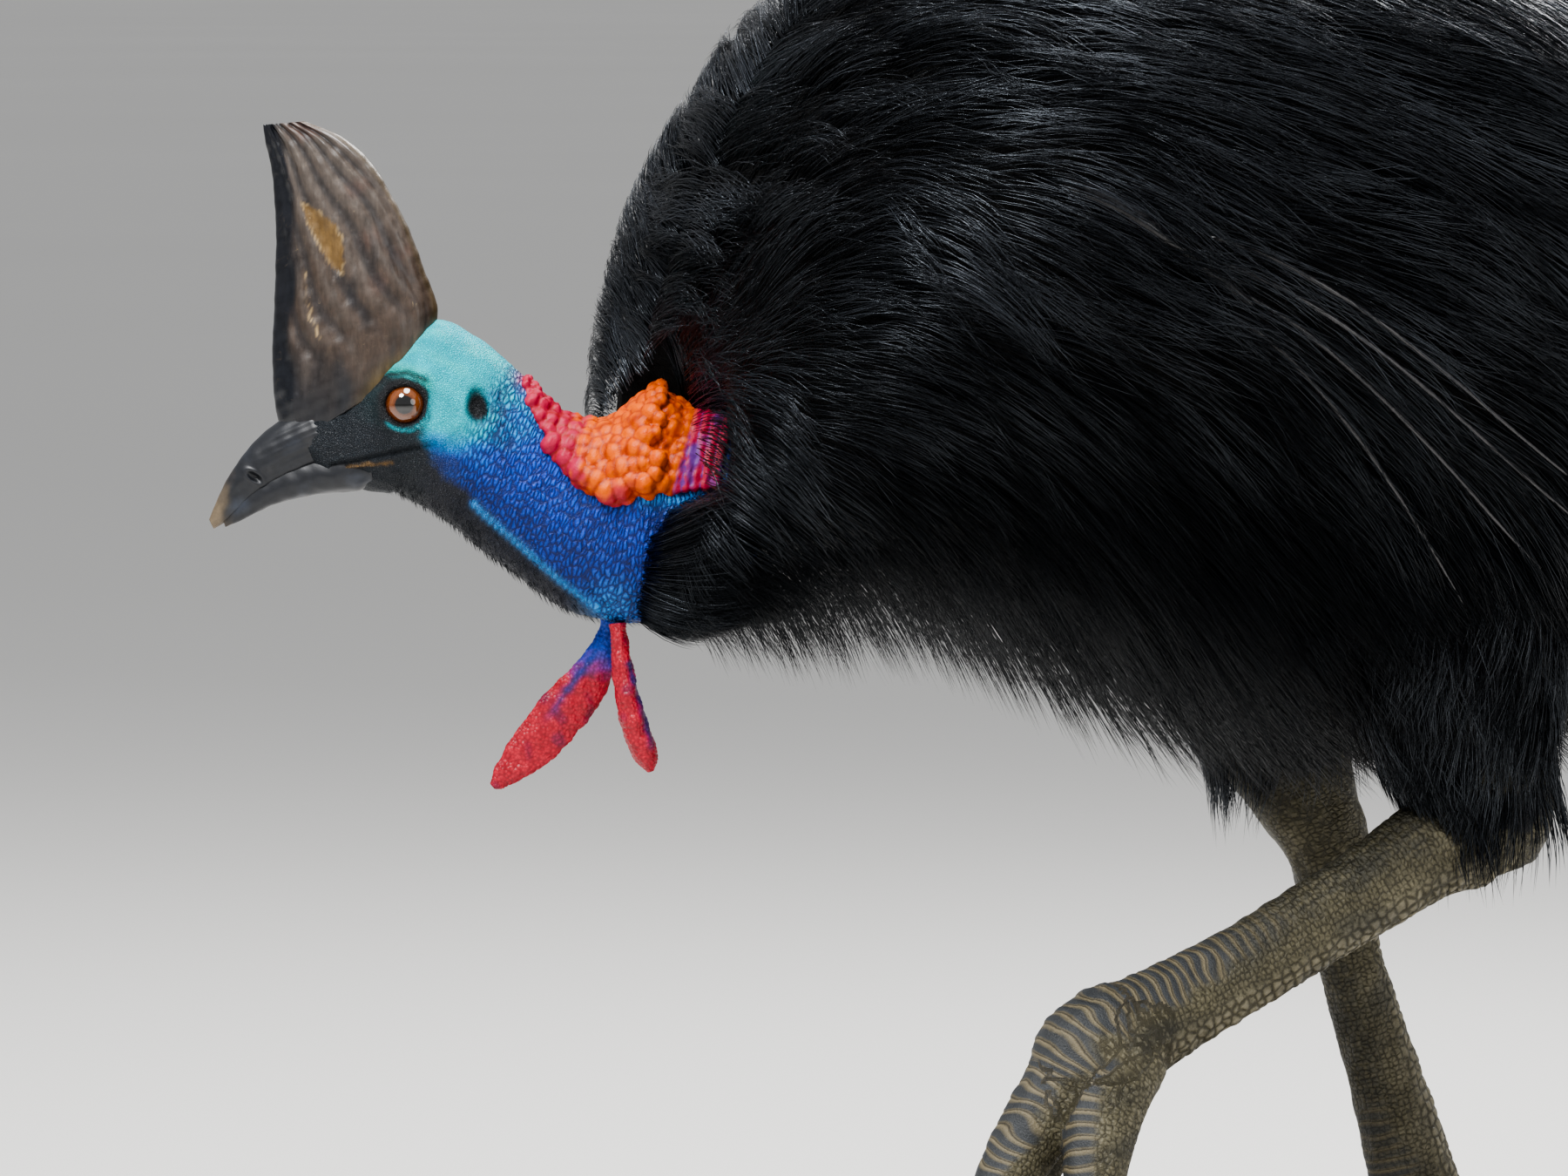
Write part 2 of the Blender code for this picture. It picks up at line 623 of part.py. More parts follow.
def core_rings(first, last, grow=0.0):
    """The core of the coat between two rows, which lies deeper away from the neck."""
    rows = scaled(BODY_ROWS)
    rings = []
    for index in range(first, last + 1):
        share = min(1.0, index / CORE_RAMP) * min(1.0, rows[index][5] / CORE_NARROW)
        depth = grow - CORE_DEPTH * MM * share
        angles = [math.tau * k / CORE_SIDES for k in range(CORE_SIDES)]
        rings.append(np.array([ring_point(BODY, rows[index], angle, depth)[0] for angle in angles]))
    return rings


def build_coat():
    """The coat of the body and of the rump, each a core with the locks that grow from it.
    Where the two cores meet, each leaves half of the gap."""
    front = core_rings(0, RUMP_START)
    back = core_rings(RUMP_START, len(BODY_ROWS) - 1)
    half_gap = BODY.forward * GAP / 2
    front[-1] = front[-1] - half_gap
    back[0] = back[0] + half_gap
    torso = join("torso", [skin_rings("core", front), *body_locks(last=RUMP_START)])
    rump = join("rump", [skin_rings("core", back), *body_locks(first=RUMP_START)])
    behind = BODY_ROWS[RUMP_START][2] * MM - RUMP_OVERLAP

    def crosses(path):
        return any(point[0] > behind for point, *_ in path)

    boolean(rump, "DIFFERENCE", body_locks(GAP, crosses, last=RUMP_START))
    return torso, rump


def wing_pieces(sign, grow=0.0):
    """The arm and the bare quills of a small wing that lies on the flank."""
    rows = scaled(BODY_ROWS)
    arm = []
    for place, angle, depth, half_side, half_depth in WING_ARM:
        row = row_at(rows, place)
        point, _ = ring_point(BODY, row, sign * math.radians(angle), depth * MM)
        arm.append((*point, half_side * MM, half_depth * MM))
    outward = np.array((0.0, sign, 0.0))
    pieces = [skin_rings("arm", limb_rings(arm, ARM_SIDES, STEPS, outward, grow))]
    for place_a, angle_a, place_b, angle_b in WING_QUILLS:
        quill = []
        for k in range(QUILL_STEPS):
            part = k / (QUILL_STEPS - 1)
            row = row_at(rows, place_a + (place_b - place_a) * part)
            angle = sign * math.radians(angle_a + (angle_b - angle_a) * part)
            lift = QUILL_REST + QUILL_BOW * math.sin(math.pi * part)
            point, _ = ring_point(BODY, row, angle, lift * MM)
            radius = QUILL_RADIUS * (1 - QUILL_TAPER * part) * MM
            quill.append((*point, radius, radius))
        pieces.append(skin_rings("quill", limb_rings(quill, QUILL_SIDES, 1, outward, grow)))
    return pieces


def toe_piece(name, toe, grow=0.0):
    return limb("toe", TOES[name][toe], LIMB_SIDES, 1, TOE_TOP[name], grow)


def knuckle_piece(name, grow=0.0):
    return limb("knuckle", KNUCKLES[name], KNUCKLE_SIDES, 1, grow=grow)


def scutes(rows, kind, ahead):
    """Plates across the front of a limb, each a flat band that tapers at its two ends."""
    metres = np.array(rows, float) * MM
    first, last, count, span = SCUTES[kind]
    length = np.linalg.norm(metres[-1][:3] - metres[0][:3]) / (len(rows) - 1)
    half = SCUTE_COVER * length * (last - first) / count
    plates = []
    for k in range(count):
        place = first + (last - first) * (k + 0.5) / count
        path = []
        for share, wide in SCUTE_SHAPE:
            point, out = limb_point(metres, place, math.radians(span * share), ahead, -SCUTE_SINK)
            path.append((point, out, half * wide, SCUTE_SINK + SCUTE_RISE))
        plates.append(lock(path))
    return plates


def join(name, pieces):
    """One body out of pieces that overlap."""
    first = pieces[0]
    first.name = name
    if len(pieces) > 1:
        boolean(first, "UNION", pieces[1:])
    largest_surface(first)
    return first


def flatten_sole(item):
    for vertex in item.data.vertices:
        vertex.co.z = max(vertex.co.z, BASE_TOP + GAP)


def lid_ring(sign):
    """The thick rim of the lids round one eye, as a ring of the eye's own axis."""
    points, faces = [], []
    for i in range(LID_SEGMENTS):
        turn_round = math.tau * i / LID_SEGMENTS
        out = HEAD.forward * math.cos(turn_round) + UP * math.sin(turn_round)
        for k in range(LID_SIDES):
            angle = math.tau * k / LID_SIDES
            spread = LID_RADIUS + LID_THICK * math.cos(angle)
            side = sign * (LID_SIDE + LID_THICK * math.sin(angle))
            points.append(HEAD.origin + out * spread + HEAD.side * side)
    for i in range(LID_SEGMENTS):
        for k in range(LID_SIDES):
            a, b = i * LID_SIDES + k, i * LID_SIDES + (k + 1) % LID_SIDES
            c, d = (b + LID_SIDES) % len(points), (a + LID_SIDES) % len(points)
            faces.append((a, b, c, d))
    return mesh_object("lid", points, faces)


def head_cutters():
    """The hollows of the ears and the line of the mouth behind the bill."""
    tools = []
    axes = (HEAD.forward, HEAD.side, UP)
    for sign in (1, -1):
        ear = HEAD.point(EAR_PLACE[0] * MM, EAR_PLACE[1] * MM, sign * EAR_PLACE[2] * MM)
        tools.append(ellipsoid("ear", ear, axes, [radius * MM for radius in EAR_RADII],
                               HOLLOW_SEGMENTS, EAR_RINGS))
        line = []
        for ahead, height, aside in MOUTH_LINE:
            line.append((*HEAD.point(ahead * MM, height * MM, sign * aside * MM),
                         MOUTH_GROOVE * MM, MOUTH_GROOVE * MM))
        tools.append(skin_rings("mouth", limb_rings(line, 4, 1, UP)))
    return tools


def nostril_cutters():
    axes = (unit(HEAD.forward - NOSTRIL_SLOPE * UP), HEAD.side,
            unit(UP + NOSTRIL_SLOPE * HEAD.forward))
    ahead, height, aside = (size * MM for size in NOSTRIL_PLACE)
    return [ellipsoid("nostril", HEAD.point(ahead, height, sign * aside), axes,
                      [radius * MM for radius in NOSTRIL_RADII], HOLLOW_SEGMENTS, NOSTRIL_RINGS)
            for sign in (1, -1)]


def build_head(materials):
    bill_upper = loft("bill_upper", HEAD, HEAD_ROWS, HEAD_SIDES, 0, BILL_END)
    head = loft("head", HEAD, HEAD_ROWS, HEAD_SIDES, BILL_END, HEAD_END)
    neck = loft("neck", HEAD, HEAD_ROWS, HEAD_SIDES, HEAD_END, steps=1)
    bill_lower = loft("bill_lower", HEAD, BILL_LOWER_ROWS, BILL_SIDES, steps=1)
    casque = loft("casque", HEAD, CASQUE_ROWS, CASQUE_SIDES)
    for item in (bill_lower, casque):
        boolean(item, "DIFFERENCE", [loft("grown", HEAD, HEAD_ROWS, HEAD_SIDES, grow=GAP)])
    boolean(bill_upper, "DIFFERENCE", nostril_cutters())
    boolean(head, "UNION", [lid_ring(1), lid_ring(-1)])
    boolean(head, "DIFFERENCE", head_cutters())
    axes = (HEAD.forward, UP, HEAD.side)
    for name, sign in (("eye_left", 1), ("eye_right", -1)):
        centre = HEAD.point(0.0, 0.0, sign * EYE_SIDE)
        eye = ellipsoid(name, centre, axes, (EYE_RADIUS,) * 3, EYE_SEGMENTS, EYE_RINGS)
        socket = ellipsoid("socket", centre, axes, (EYE_RADIUS + GAP,) * 3,
                           EYE_SEGMENTS, EYE_RINGS)
        boolean(head, "DIFFERENCE", [socket])
        finish(eye, materials["eye"])
    for item, look in ((bill_lower, "bill"), (bill_upper, "bill"), (head, "face"),
                       (neck, "neck"), (casque, "casque")):
        largest_surface(item)
        finish(item, materials[look])
    caruncle = join("caruncle_nape", caruncle_bulbs())
    boolean(caruncle, "DIFFERENCE", [neck_cutter()])
    largest_surface(caruncle)
    finish(caruncle, materials["caruncle"])
    for name in WATTLES:
        item = wattle(name)
        boolean(item, "DIFFERENCE", [neck_cutter()])
        largest_surface(item)
        finish(item, materials["wattle"])


def build_body(materials):
    torso, rump = build_coat()
    boolean(torso, "DIFFERENCE", [neck_cutter(), *caruncle_bulbs(GAP)])
    for name, sign in (("wing_left", -1), ("wing_right", 1)):
        wing = join(name, wing_pieces(sign))
        boolean(torso, "DIFFERENCE", wing_pieces(sign, GAP))
        finish(wing, materials["quill"])
    for item in (torso, rump):
        largest_surface(item)
        finish(item, materials["plumage"])


def thigh_plumage(name, rows):
    """The feathered part of a leg: a core and the locks that hang from it."""
    metres = np.array(rows, float) * MM
    chance = random.Random(THIGH_SEED)
    core_rows = [(x, y, z, half_side - THIGH_CORE_DEPTH, half_depth - THIGH_CORE_DEPTH)
                 for x, y, z, half_side, half_depth in rows]
    pieces = [limb("core", core_rows, THIGH_SIDES)]
    for index, (place, count, length, width) in enumerate(THIGH_LOCKS):
        for k in range(count):
            angle = math.tau * (k + 0.5 * index) / count + chance.uniform(-THIGH_TURN, THIGH_TURN)
            reach = length * chance.uniform(1 - LENGTH_SPREAD, 1 + LENGTH_SPREAD)
            path = []
            for share, depth, wide, thick in LOCK_SHAPE:
                spot = place + reach * share
                point, out = limb_point(metres, min(spot, len(rows) - 1.0), angle, FORWARD,
                                        depth * THIGH_COAT * MM)
                point[2] -= max(0.0, spot - len(rows) + 1.0) * THIGH_HANG * MM
                path.append((point, out, width * wide * MM, thick * THIGH_LOCK_THICK * MM))
            pieces.append(lock(path))
    return join(name, pieces)


def coat_cutters(rows):
    """The body's coat near a leg, grown by the gap."""
    x, y = rows[1][0] * MM, rows[1][1] * MM

    def near(path):
        return any(math.hypot(point[0] - x, point[1] - y) < CUT_REACH and point[2] < CUT_TOP
                   for point, *_ in path)

    return [skin_rings("grown", core_rings(*CUT_ROWS, GAP)), *body_locks(GAP, near)]


def build_leg(materials, side, thigh_rows, shank_rows, tarsus_rows):
    thigh = thigh_plumage("thigh_" + side, thigh_rows)
    boolean(thigh, "DIFFERENCE", [limb("grown", shank_rows, grow=GAP),
                                  limb("grown", tarsus_rows, LIMB_SIDES, 1, grow=GAP),
                                  *coat_cutters(thigh_rows)])
    shank = limb("shank_" + side, shank_rows)
    boolean(shank, "DIFFERENCE", coat_cutters(thigh_rows))
    name = "foot_" + side
    plates = [plate for toe, rows in TOES[name].items()
              for plate in scutes(rows, toe, TOE_TOP[name])]
    foot = join(name, [knuckle_piece(name), *(toe_piece(name, toe) for toe in TOES[name]), *plates])
    tarsus = join("tarsus_" + side, [limb("tarsus", tarsus_rows, LIMB_SIDES, 1),
                                     *scutes(tarsus_rows, "tarsus", FORWARD)])
    boolean(tarsus, "DIFFERENCE", [knuckle_piece(name, GAP), limb("grown", shank_rows, grow=GAP),
                                   *(toe_piece(name, toe, GAP) for toe in TOES[name])])
    for toe, rows in CLAWS[name].items():
        claw = limb("claw_" + toe + "_" + side, rows, CLAW_SIDES, 1, TOE_TOP[name])
        boolean(claw, "DIFFERENCE", [toe_piece(name, toe, GAP)])
        largest_surface(claw)
        flatten_sole(claw)
        finish(claw, materials["claw"])
    flatten_sole(foot)
    for item, look in ((thigh, "plumage"), (shank, "leg"), (tarsus, "leg"), (foot, "leg")):
        largest_surface(item)
        finish(item, materials[look])


def build_base(materials):
    bpy.ops.mesh.primitive_cube_add(size=1.0, location=(*BASE_CENTRE, BASE_TOP / 2))
    base = bpy.context.object
    base.name = "stand_base"
    base.dimensions = (BASE_LENGTH, BASE_WIDTH, BASE_TOP)
    bpy.ops.object.transform_apply(location=True, rotation=False, scale=True)
    work = bmesh.new()
    work.from_mesh(base.data)
    upright = [e for e in work.edges if abs(e.verts[0].co.z - e.verts[1].co.z) > BASE_TOP / 2]
    bmesh.ops.bevel(work, geom=upright, offset=BASE_ROUND, segments=BASE_SEGMENTS,
                    affect="EDGES", profile=0.5)
    work.to_mesh(base.data)
    work.free()
    finish(base, materials["base"])


def centre_on_origin():
    """Moves the whole model so that its box stands centred on the origin."""
    items = [item for item in bpy.data.objects if item.type == "MESH"]
    corners = np.array([vertex.co for item in items for vertex in item.data.vertices])
    middle = (corners.min(axis=0) + corners.max(axis=0)) / 2
    for item in items:
        for vertex in item.data.vertices:
            vertex.co.x -= middle[0]
            vertex.co.y -= middle[1]


def main():
    clear_scene()
    materials = {name: make_material(name, colour, roughness)
                 for name, colour, roughness in MATERIALS}
    build_base(materials)
    build_body(materials)
    build_head(materials)
    build_leg(materials, "left", THIGH_LEFT, SHANK_LEFT, TARSUS_LEFT)
    build_leg(materials, "right", THIGH_RIGHT, SHANK_RIGHT, TARSUS_RIGHT)
    centre_on_origin()


main()
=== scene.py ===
import math

import bmesh
import bpy
import numpy as np
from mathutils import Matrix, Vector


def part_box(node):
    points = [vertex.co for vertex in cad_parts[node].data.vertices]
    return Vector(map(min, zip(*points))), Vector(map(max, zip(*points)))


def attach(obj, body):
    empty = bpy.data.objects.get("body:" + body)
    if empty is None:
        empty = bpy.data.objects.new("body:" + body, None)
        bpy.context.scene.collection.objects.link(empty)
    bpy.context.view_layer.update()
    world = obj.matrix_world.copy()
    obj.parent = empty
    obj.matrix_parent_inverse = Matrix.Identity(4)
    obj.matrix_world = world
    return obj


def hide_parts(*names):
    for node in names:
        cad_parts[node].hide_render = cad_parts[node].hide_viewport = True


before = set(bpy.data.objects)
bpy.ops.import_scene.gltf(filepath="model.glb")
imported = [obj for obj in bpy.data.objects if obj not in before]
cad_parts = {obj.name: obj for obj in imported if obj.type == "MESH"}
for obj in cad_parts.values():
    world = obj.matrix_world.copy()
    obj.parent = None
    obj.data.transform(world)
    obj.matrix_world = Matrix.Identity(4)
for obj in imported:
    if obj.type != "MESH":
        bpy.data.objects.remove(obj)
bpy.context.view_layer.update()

# The base: a low board of wood, stained nearly black, with rounded corners and a soft worn
# edge. The standing foot is fixed on it and it carries the whole bird.
BASE_SIZE, BASE_ROUND, BASE_EDGE = (0.60, 0.40, 0.025), 0.05, 0.0016
MM = 0.001
UP = np.array((0.0, 0.0, 1.0))


def nodes_of(name, colour, roughness, **sockets):
    """A new material with its shader set, its node tree, the shader, and the socket that
    says where a point is in its own piece."""
    material = bpy.data.materials.new(name)
    material.use_nodes = True
    tree = material.node_tree
    shader = tree.nodes["Principled BSDF"]
    shader.inputs["Base Color"].default_value = (*colour, 1.0)
    shader.inputs["Roughness"].default_value = roughness
    for socket, value in sockets.items():
        shader.inputs[socket.replace("_", " ")].default_value = value
    return material, tree, shader, tree.nodes.new("ShaderNodeTexCoord").outputs["Object"]


def add(tree, kind, links=(), **values):
    """A node of a material; links name the socket that each of its inputs comes from."""
    node = tree.nodes.new("ShaderNode" + kind)
    for name, value in values.items():
        if name in node.inputs:
            node.inputs[name].default_value = value
        elif name.replace("_", " ") in node.inputs:
            node.inputs[name.replace("_", " ")].default_value = value
        else:
            setattr(node, name, value)
    for name, source in dict(links).items():
        tree.links.new(source, node.inputs[name])
    return node


def ramp(tree, source, *stops):
    """A colour ramp over a number, with a place and a colour for each stop."""
    node = add(tree, "ValToRGB", {"Fac": source})
    band = node.color_ramp
    while len(band.elements) < len(stops):
        band.elements.new(0.5)
    for element, (place, colour) in zip(band.elements, stops):
        element.position = place
        element.color = (*colour, 1.0)
    return node.outputs["Color"]


def mixed(tree, share, first, second, blend="MIX"):
    """One colour over another; the share may be a number or a socket."""
    node = add(tree, "Mix", data_type="RGBA", blend_type=blend)
    for socket, value in ((0, share), (6, first), (7, second)):
        if isinstance(value, bpy.types.NodeSocket):
            tree.links.new(value, node.inputs[socket])
        elif socket:
            node.inputs[socket].default_value = (*value, 1.0)
        else:
            node.inputs[socket].default_value = value
    return node.outputs[2]


def noise(tree, place, scale, detail, roughness=0.5, **values):
    """Soft uneven clouds, from 0 to 1."""
    return add(tree, "TexNoise", {"Vector": place}, Scale=scale, Detail=detail, Roughness=roughness,
               **values).outputs["Fac"]


def dressed(tree, shader, tone, relief=None, gloss=None):
    """A shader's colour, its relief as a height, strength and distance, and its roughness
    as a source, such as a wear or a grain, and what it is at 0 and at 1."""
    tree.links.new(tone, shader.inputs["Base Color"])
    if relief:
        node = add(tree, "Bump", {"Height": relief[0]}, Strength=relief[1], Distance=relief[2])
        tree.links.new(node.outputs["Normal"], shader.inputs["Normal"])
    if gloss:
        node = add(tree, "MapRange", {"Value": gloss[0]}, To_Min=gloss[1], To_Max=gloss[2])
        tree.links.new(node.outputs["Result"], shader.inputs["Roughness"])


base_low, base_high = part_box("stand_base")
base_mid = (base_low + base_high) / 2
bpy.ops.object.select_all(action="DESELECT")
bpy.ops.mesh.primitive_cube_add(size=1.0, location=base_mid)
plinth = bpy.context.object
plinth.name = "stand_plinth"
plinth.dimensions = BASE_SIZE
bpy.ops.object.transform_apply(location=True, rotation=True, scale=True)
bpy.ops.object.mode_set(mode="EDIT")
bpy.ops.mesh.select_mode(type="EDGE")
bpy.ops.mesh.select_all(action="DESELECT")
bpy.ops.object.mode_set(mode="OBJECT")
for edge in plinth.data.edges:
    ends = [plinth.data.vertices[index].co.z for index in edge.vertices]
    edge.select = abs(ends[0] - ends[1]) > BASE_SIZE[2] / 2
bpy.ops.object.mode_set(mode="EDIT")
bpy.ops.mesh.bevel(offset=BASE_ROUND, segments=14)
bpy.ops.object.mode_set(mode="OBJECT")
edge_round = plinth.modifiers.new("edge_round", "BEVEL")
edge_round.width, edge_round.segments, edge_round.angle_limit = BASE_EDGE, 3, math.radians(40)
bpy.ops.object.modifier_apply(modifier="edge_round")
bpy.ops.object.shade_smooth_by_angle(angle=math.radians(35))
look, tree, shader, place = nodes_of("stained_wood", (0.075, 0.07, 0.065), 0.45)
along = add(tree, "Mapping", {"Vector": place}, Scale=(0.07, 1.0, 1.0)).outputs["Vector"]
rings = noise(tree, along, 55.0, 6.0, 0.6, Distortion=0.4)
grain = noise(tree, along, 620.0, 3.0)
tone = ramp(tree, rings, (0.3, (0.040, 0.032, 0.026)), (0.7, (0.095, 0.080, 0.066)))
tone = mixed(tree, 0.45, tone, grain, "SOFT_LIGHT")
dressed(tree, shader, tone, (grain, 0.25, 0.0006))
plinth.data.materials.append(look)
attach(plinth, "root")
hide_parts("stand_base")

# Where the bird stands: the model's own shift from the drawing to the frame, and the two
# directions that its shapes are drawn in. The head and neck are turned to the right.
BASE_CENTRE = (0.045, 0.0)
SHIFT = np.array((base_mid.x - BASE_CENTRE[0], base_mid.y - BASE_CENTRE[1], 0.0))
HEAD_TURN = math.radians(25)
EYE_MID = SHIFT + (-0.513, 0.085, 0.657)
HEAD_AHEAD = np.array((-math.cos(HEAD_TURN), math.sin(HEAD_TURN), 0.0))
HEAD_LEFT = np.array((-math.sin(HEAD_TURN), -math.cos(HEAD_TURN), 0.0))
HEAD_AXES = (EYE_MID, HEAD_AHEAD, HEAD_LEFT)
BODY_AXES = (SHIFT, np.array((1.0, 0.0, 0.0)), np.array((0.0, 1.0, 0.0)))

# The skin of the head and neck: bare, thin and finely wrinkled, with a beaded ridge down
# each side of the throat, thick lids and an open ear. It is one surface with the skin of
# the body under the feathers and with the scaly skin of the legs.
FACE_START, BILL_TUCK = 4.6, 5.1
# Stations: ahead and above of the eye for the top and the bottom point, offset, half
# width in millimetres, and how much wider the upper half is.
HEAD_ROWS = np.array([
    (120, -71, 117, -77, 0, 2.5, 0.0), (113, -55, 105, -70, 0, 5.0, 0.0),
    (106, -42, 93, -59, 0, 7.5, 0.0), (94, -26, 78, -50, 0, 10.5, 0.0),
    (78, -12, 60, -43, 0, 14.0, 0.0), (60, -3, 43, -38, 0, 18.0, 0.0),
    (39, 6, 26, -34, 0, 22.0, 0.0), (19, 21, 14, -51, 0, 26.0, 0.1),
    (0, 36, 6, -55, 0, 29.0, 0.1), (-19, 50, -2, -59, 0, 31.0, 0.05),
    (-42, 40, -11, -64, 0, 32.0, 0.0), (-60, 26, -22, -71, 0, 32.0, 0.0),
    (-75, 12, -34, -80, 0, 32.0, 0.0), (-89, -4, -51, -94, 0, 32.0, 0.0),
    (-105, -16, -70, -108, 0, 32.5, 0.0), (-124, -17, -92, -124, 0, 34.0, 0.0),
    (-140, -8, -116, -132, 0, 36.0, 0.0), (-154, 1, -141, -134, 0, 38.0, 0.0),
    (-178, -4, -172, -120, 0, 36.0, 0.0), (-214, -8, -214, -106, 0, 34.0, 0.0)])
SKIN_ROWS = HEAD_ROWS.copy()
SKIN_ROWS[5:8, 2:4] = [(46, -47), (26, -53.5), (13, -55)]
HEAD_STEP, HEAD_SIDES = 1.45, 156
WRINKLE_PITCH, WRINKLE_DEPTH, BEAD_PITCH, RIDGE_PITCH = 4.4, 0.55, 5.2, 4.6
LID_PROFILE = [(0, 19), (9.6, 21), (10.9, 25.6), (11.9, 28.6), (13.6, 30.4), (16.5, 30.0),
               (21, 30.0)]
EAR_PLACE, EAR_SIZE = (-44, -1), 6.0
THROAT_RIDGE = [(-42, -61), (-50, -69), (-71, -87), (-92, -106), (-116, -125)]
MOUTH_LINE = [(44, -38), (30, -35), (18, -32), (5, -29), (-8, -26), (-19, -24)]
BLACK_FACE = [(140, 40), (30, 34), (16, 19), (-3, 16), (-13, 9), (-15, -6), (-9, -20), (-20, -38),
              (-45, -60), (-80, -91), (-119, -127), (-119, -190), (140, -190)]


def spline(rows, places):
    """Rows read at any places along them, on a smooth curve through each column."""
    rows = np.asarray(rows, float)
    rows = np.vstack([2 * rows[0] - rows[1], rows, 2 * rows[-1] - rows[-2]])
    places = np.clip(np.asarray(places, float), 0, len(rows) - 3)
    first = np.minimum(places.astype(int), len(rows) - 4)
    t = (places - first)[..., None]
    a, b, c, d = (rows[first + k] for k in range(4))
    return 0.5 * (2 * b + (c - a) * t + (2 * a - 5 * b + 4 * c - d) * t ** 2
                  + (3 * b - a - 3 * c + d) * t ** 3)


def unit(vectors):
    return vectors / np.maximum(np.linalg.norm(vectors, axis=-1, keepdims=True), 1e-12)


def on_form(rows, axes, places, angles, grow=0.0):
    """Points on a body drawn by its stations, and the way out there; the angle starts at
    the top, and grow is in millimetres."""
    origin, ahead, side = axes
    row = spline(rows, places)
    top = ahead * row[..., 0:1] + UP * row[..., 1:2] + side * row[..., 4:5]
    bottom = ahead * row[..., 2:3] + UP * row[..., 3:4] + side * row[..., 4:5]
    rise = unit(top - bottom)
    angles, grow = np.asarray(angles)[..., None], np.asarray(grow)[..., None]
    half = np.linalg.norm(top - bottom, axis=-1, keepdims=True) / 2 + grow
    width = (row[..., 5:6] + grow) * (1 + row[..., 6:7] * np.cos(angles))
    point = (top + bottom) / 2 + rise * half * np.cos(angles) + side * width * np.sin(angles)
    out = rise * np.cos(angles) / half + side * np.sin(angles) / width
    return origin + point * MM, unit(out)


def smooth(low, high, value):
    """A soft step from 0 at low to 1 at high."""
    t = np.clip((value - low) / (high - low), 0, 1)
    return t * t * (3 - 2 * t)


def bell(far, width, power=2):
    """1 where far is 0, falling softly to 0 on both sides; a higher power has a flatter top."""
    return np.exp(-(far / width) ** power)


def off_line(line, ahead, height):
    """How far each point is from a line of points, and how far along it the near spot is."""
    best, along, done = np.full(np.shape(ahead), 1e9), np.zeros(np.shape(ahead)), 0.0
    for (x0, y0), (x1, y1) in zip(line, line[1:]):
        length = math.hypot(x1 - x0, y1 - y0)
        t = np.clip(((ahead - x0) * (x1 - x0) + (height - y0) * (y1 - y0)) / length ** 2, 0, 1)
        far = np.hypot(ahead - x0 - t * (x1 - x0), height - y0 - t * (y1 - y0))
        along = np.where(far < best, done + t * length, along)
        best = np.minimum(best, far)
        done += length
    return best, along


def inside(patch, ahead, height, soft):
    """1 inside a patch of the drawing and 0 outside, with a soft edge."""
    within = np.zeros(np.shape(ahead), bool)
    for (x0, y0), (x1, y1) in zip(patch, patch[1:] + patch[:1]):
        if y0 != y1:
            crossing = x0 + (height - y0) * (x1 - x0) / (y1 - y0)
            within ^= ((y0 > height) != (y1 > height)) & (ahead < crossing)
    far = off_line(patch + patch[:1], ahead, height)[0]
    return smooth(-soft, soft, np.where(within, far, -far))


def waves(points, scale, seed, count=7):
    """Smooth uneven waves through space, about 0 and 1 high, from a sum of sines."""
    chance = np.random.default_rng(seed)
    total = np.zeros(points.shape[:-1])
    for _ in range(count):
        way = unit(chance.normal(size=3)) * chance.uniform(0.6, 1.5) * math.tau / scale
        total += np.sin(points @ way + chance.uniform(0, math.tau))
    return total / math.sqrt(count)


def linked(name, data):
    """A new object in the scene."""
    item = bpy.data.objects.new(name, data)
    bpy.context.scene.collection.objects.link(item)
    return item


def shell(name, points):
    """A mesh over a grid of rings, closed round and at both ends."""
    count, sides = points.shape[:2]
    flat = points.reshape(-1, 3)
    a = np.arange(count * sides).reshape(count, sides)
    b = np.roll(a, -1, axis=1)
    faces = np.stack([a[:-1], b[:-1], b[1:], a[1:]], -1).reshape(-1, 4).tolist()
    flat = np.vstack([flat, points[0].mean(axis=0), points[-1].mean(axis=0)])
    last = count * sides
    faces += [(b[0, k], a[0, k], last) for k in range(sides)]
    faces += [(a[-1, k], b[-1, k], last + 1) for k in range(sides)]
    mesh = bpy.data.meshes.new(name)
    mesh.from_pydata(flat.tolist(), [], faces)
    work = bmesh.new()
    work.from_mesh(mesh)
    bmesh.ops.remove_doubles(work, verts=work.verts, dist=1e-6)
    bmesh.ops.recalc_face_normals(work, faces=work.faces)
    work.to_mesh(mesh)
    work.free()
    return linked(name, mesh)


def corners_of(item, what="co"):
    """The place of every corner of a mesh, or its normal."""
    values = np.empty(len(item.data.vertices) * 3, np.float32)
    item.data.vertices.foreach_get(what, values)
    return values.reshape(-1, 3).astype(float)


def move_corners(item, spots):
    item.data.vertices.foreach_set("co", spots.astype(np.float32).ravel())
    item.data.update()


def drawn(axes, points):
    """Places in the drawing of a form: ahead, height and aside, in millimetres."""
    origin, ahead, side = axes
    local = (points - origin) / MM
    return local @ ahead, local[..., 2], local @ side


def rounds(sides):
    """Even angles round a form."""
    return math.tau * np.arange(sides) / sides


def grid(places, angles):
    """Every angle at every place."""
    return np.meshgrid(places, angles, indexing="ij")


def even_places(rows, first, last, step):
    """Places along stations that lie an even step apart."""
    fine = np.linspace(first, last, 400)
    row = spline(rows, fine)
    middle = (row[:, 0:2] + row[:, 2:4]) / 2
    run = np.concatenate([[0], np.cumsum(np.linalg.norm(np.diff(middle, axis=0), axis=1))])
    return np.interp(np.arange(0, run[-1], step), run, fine)


def off_ear(ahead, height):
    """How far each point is from the middle of the ear, which is a standing oval."""
    return np.hypot(ahead - EAR_PLACE[0], (height - EAR_PLACE[1]) * 0.62)


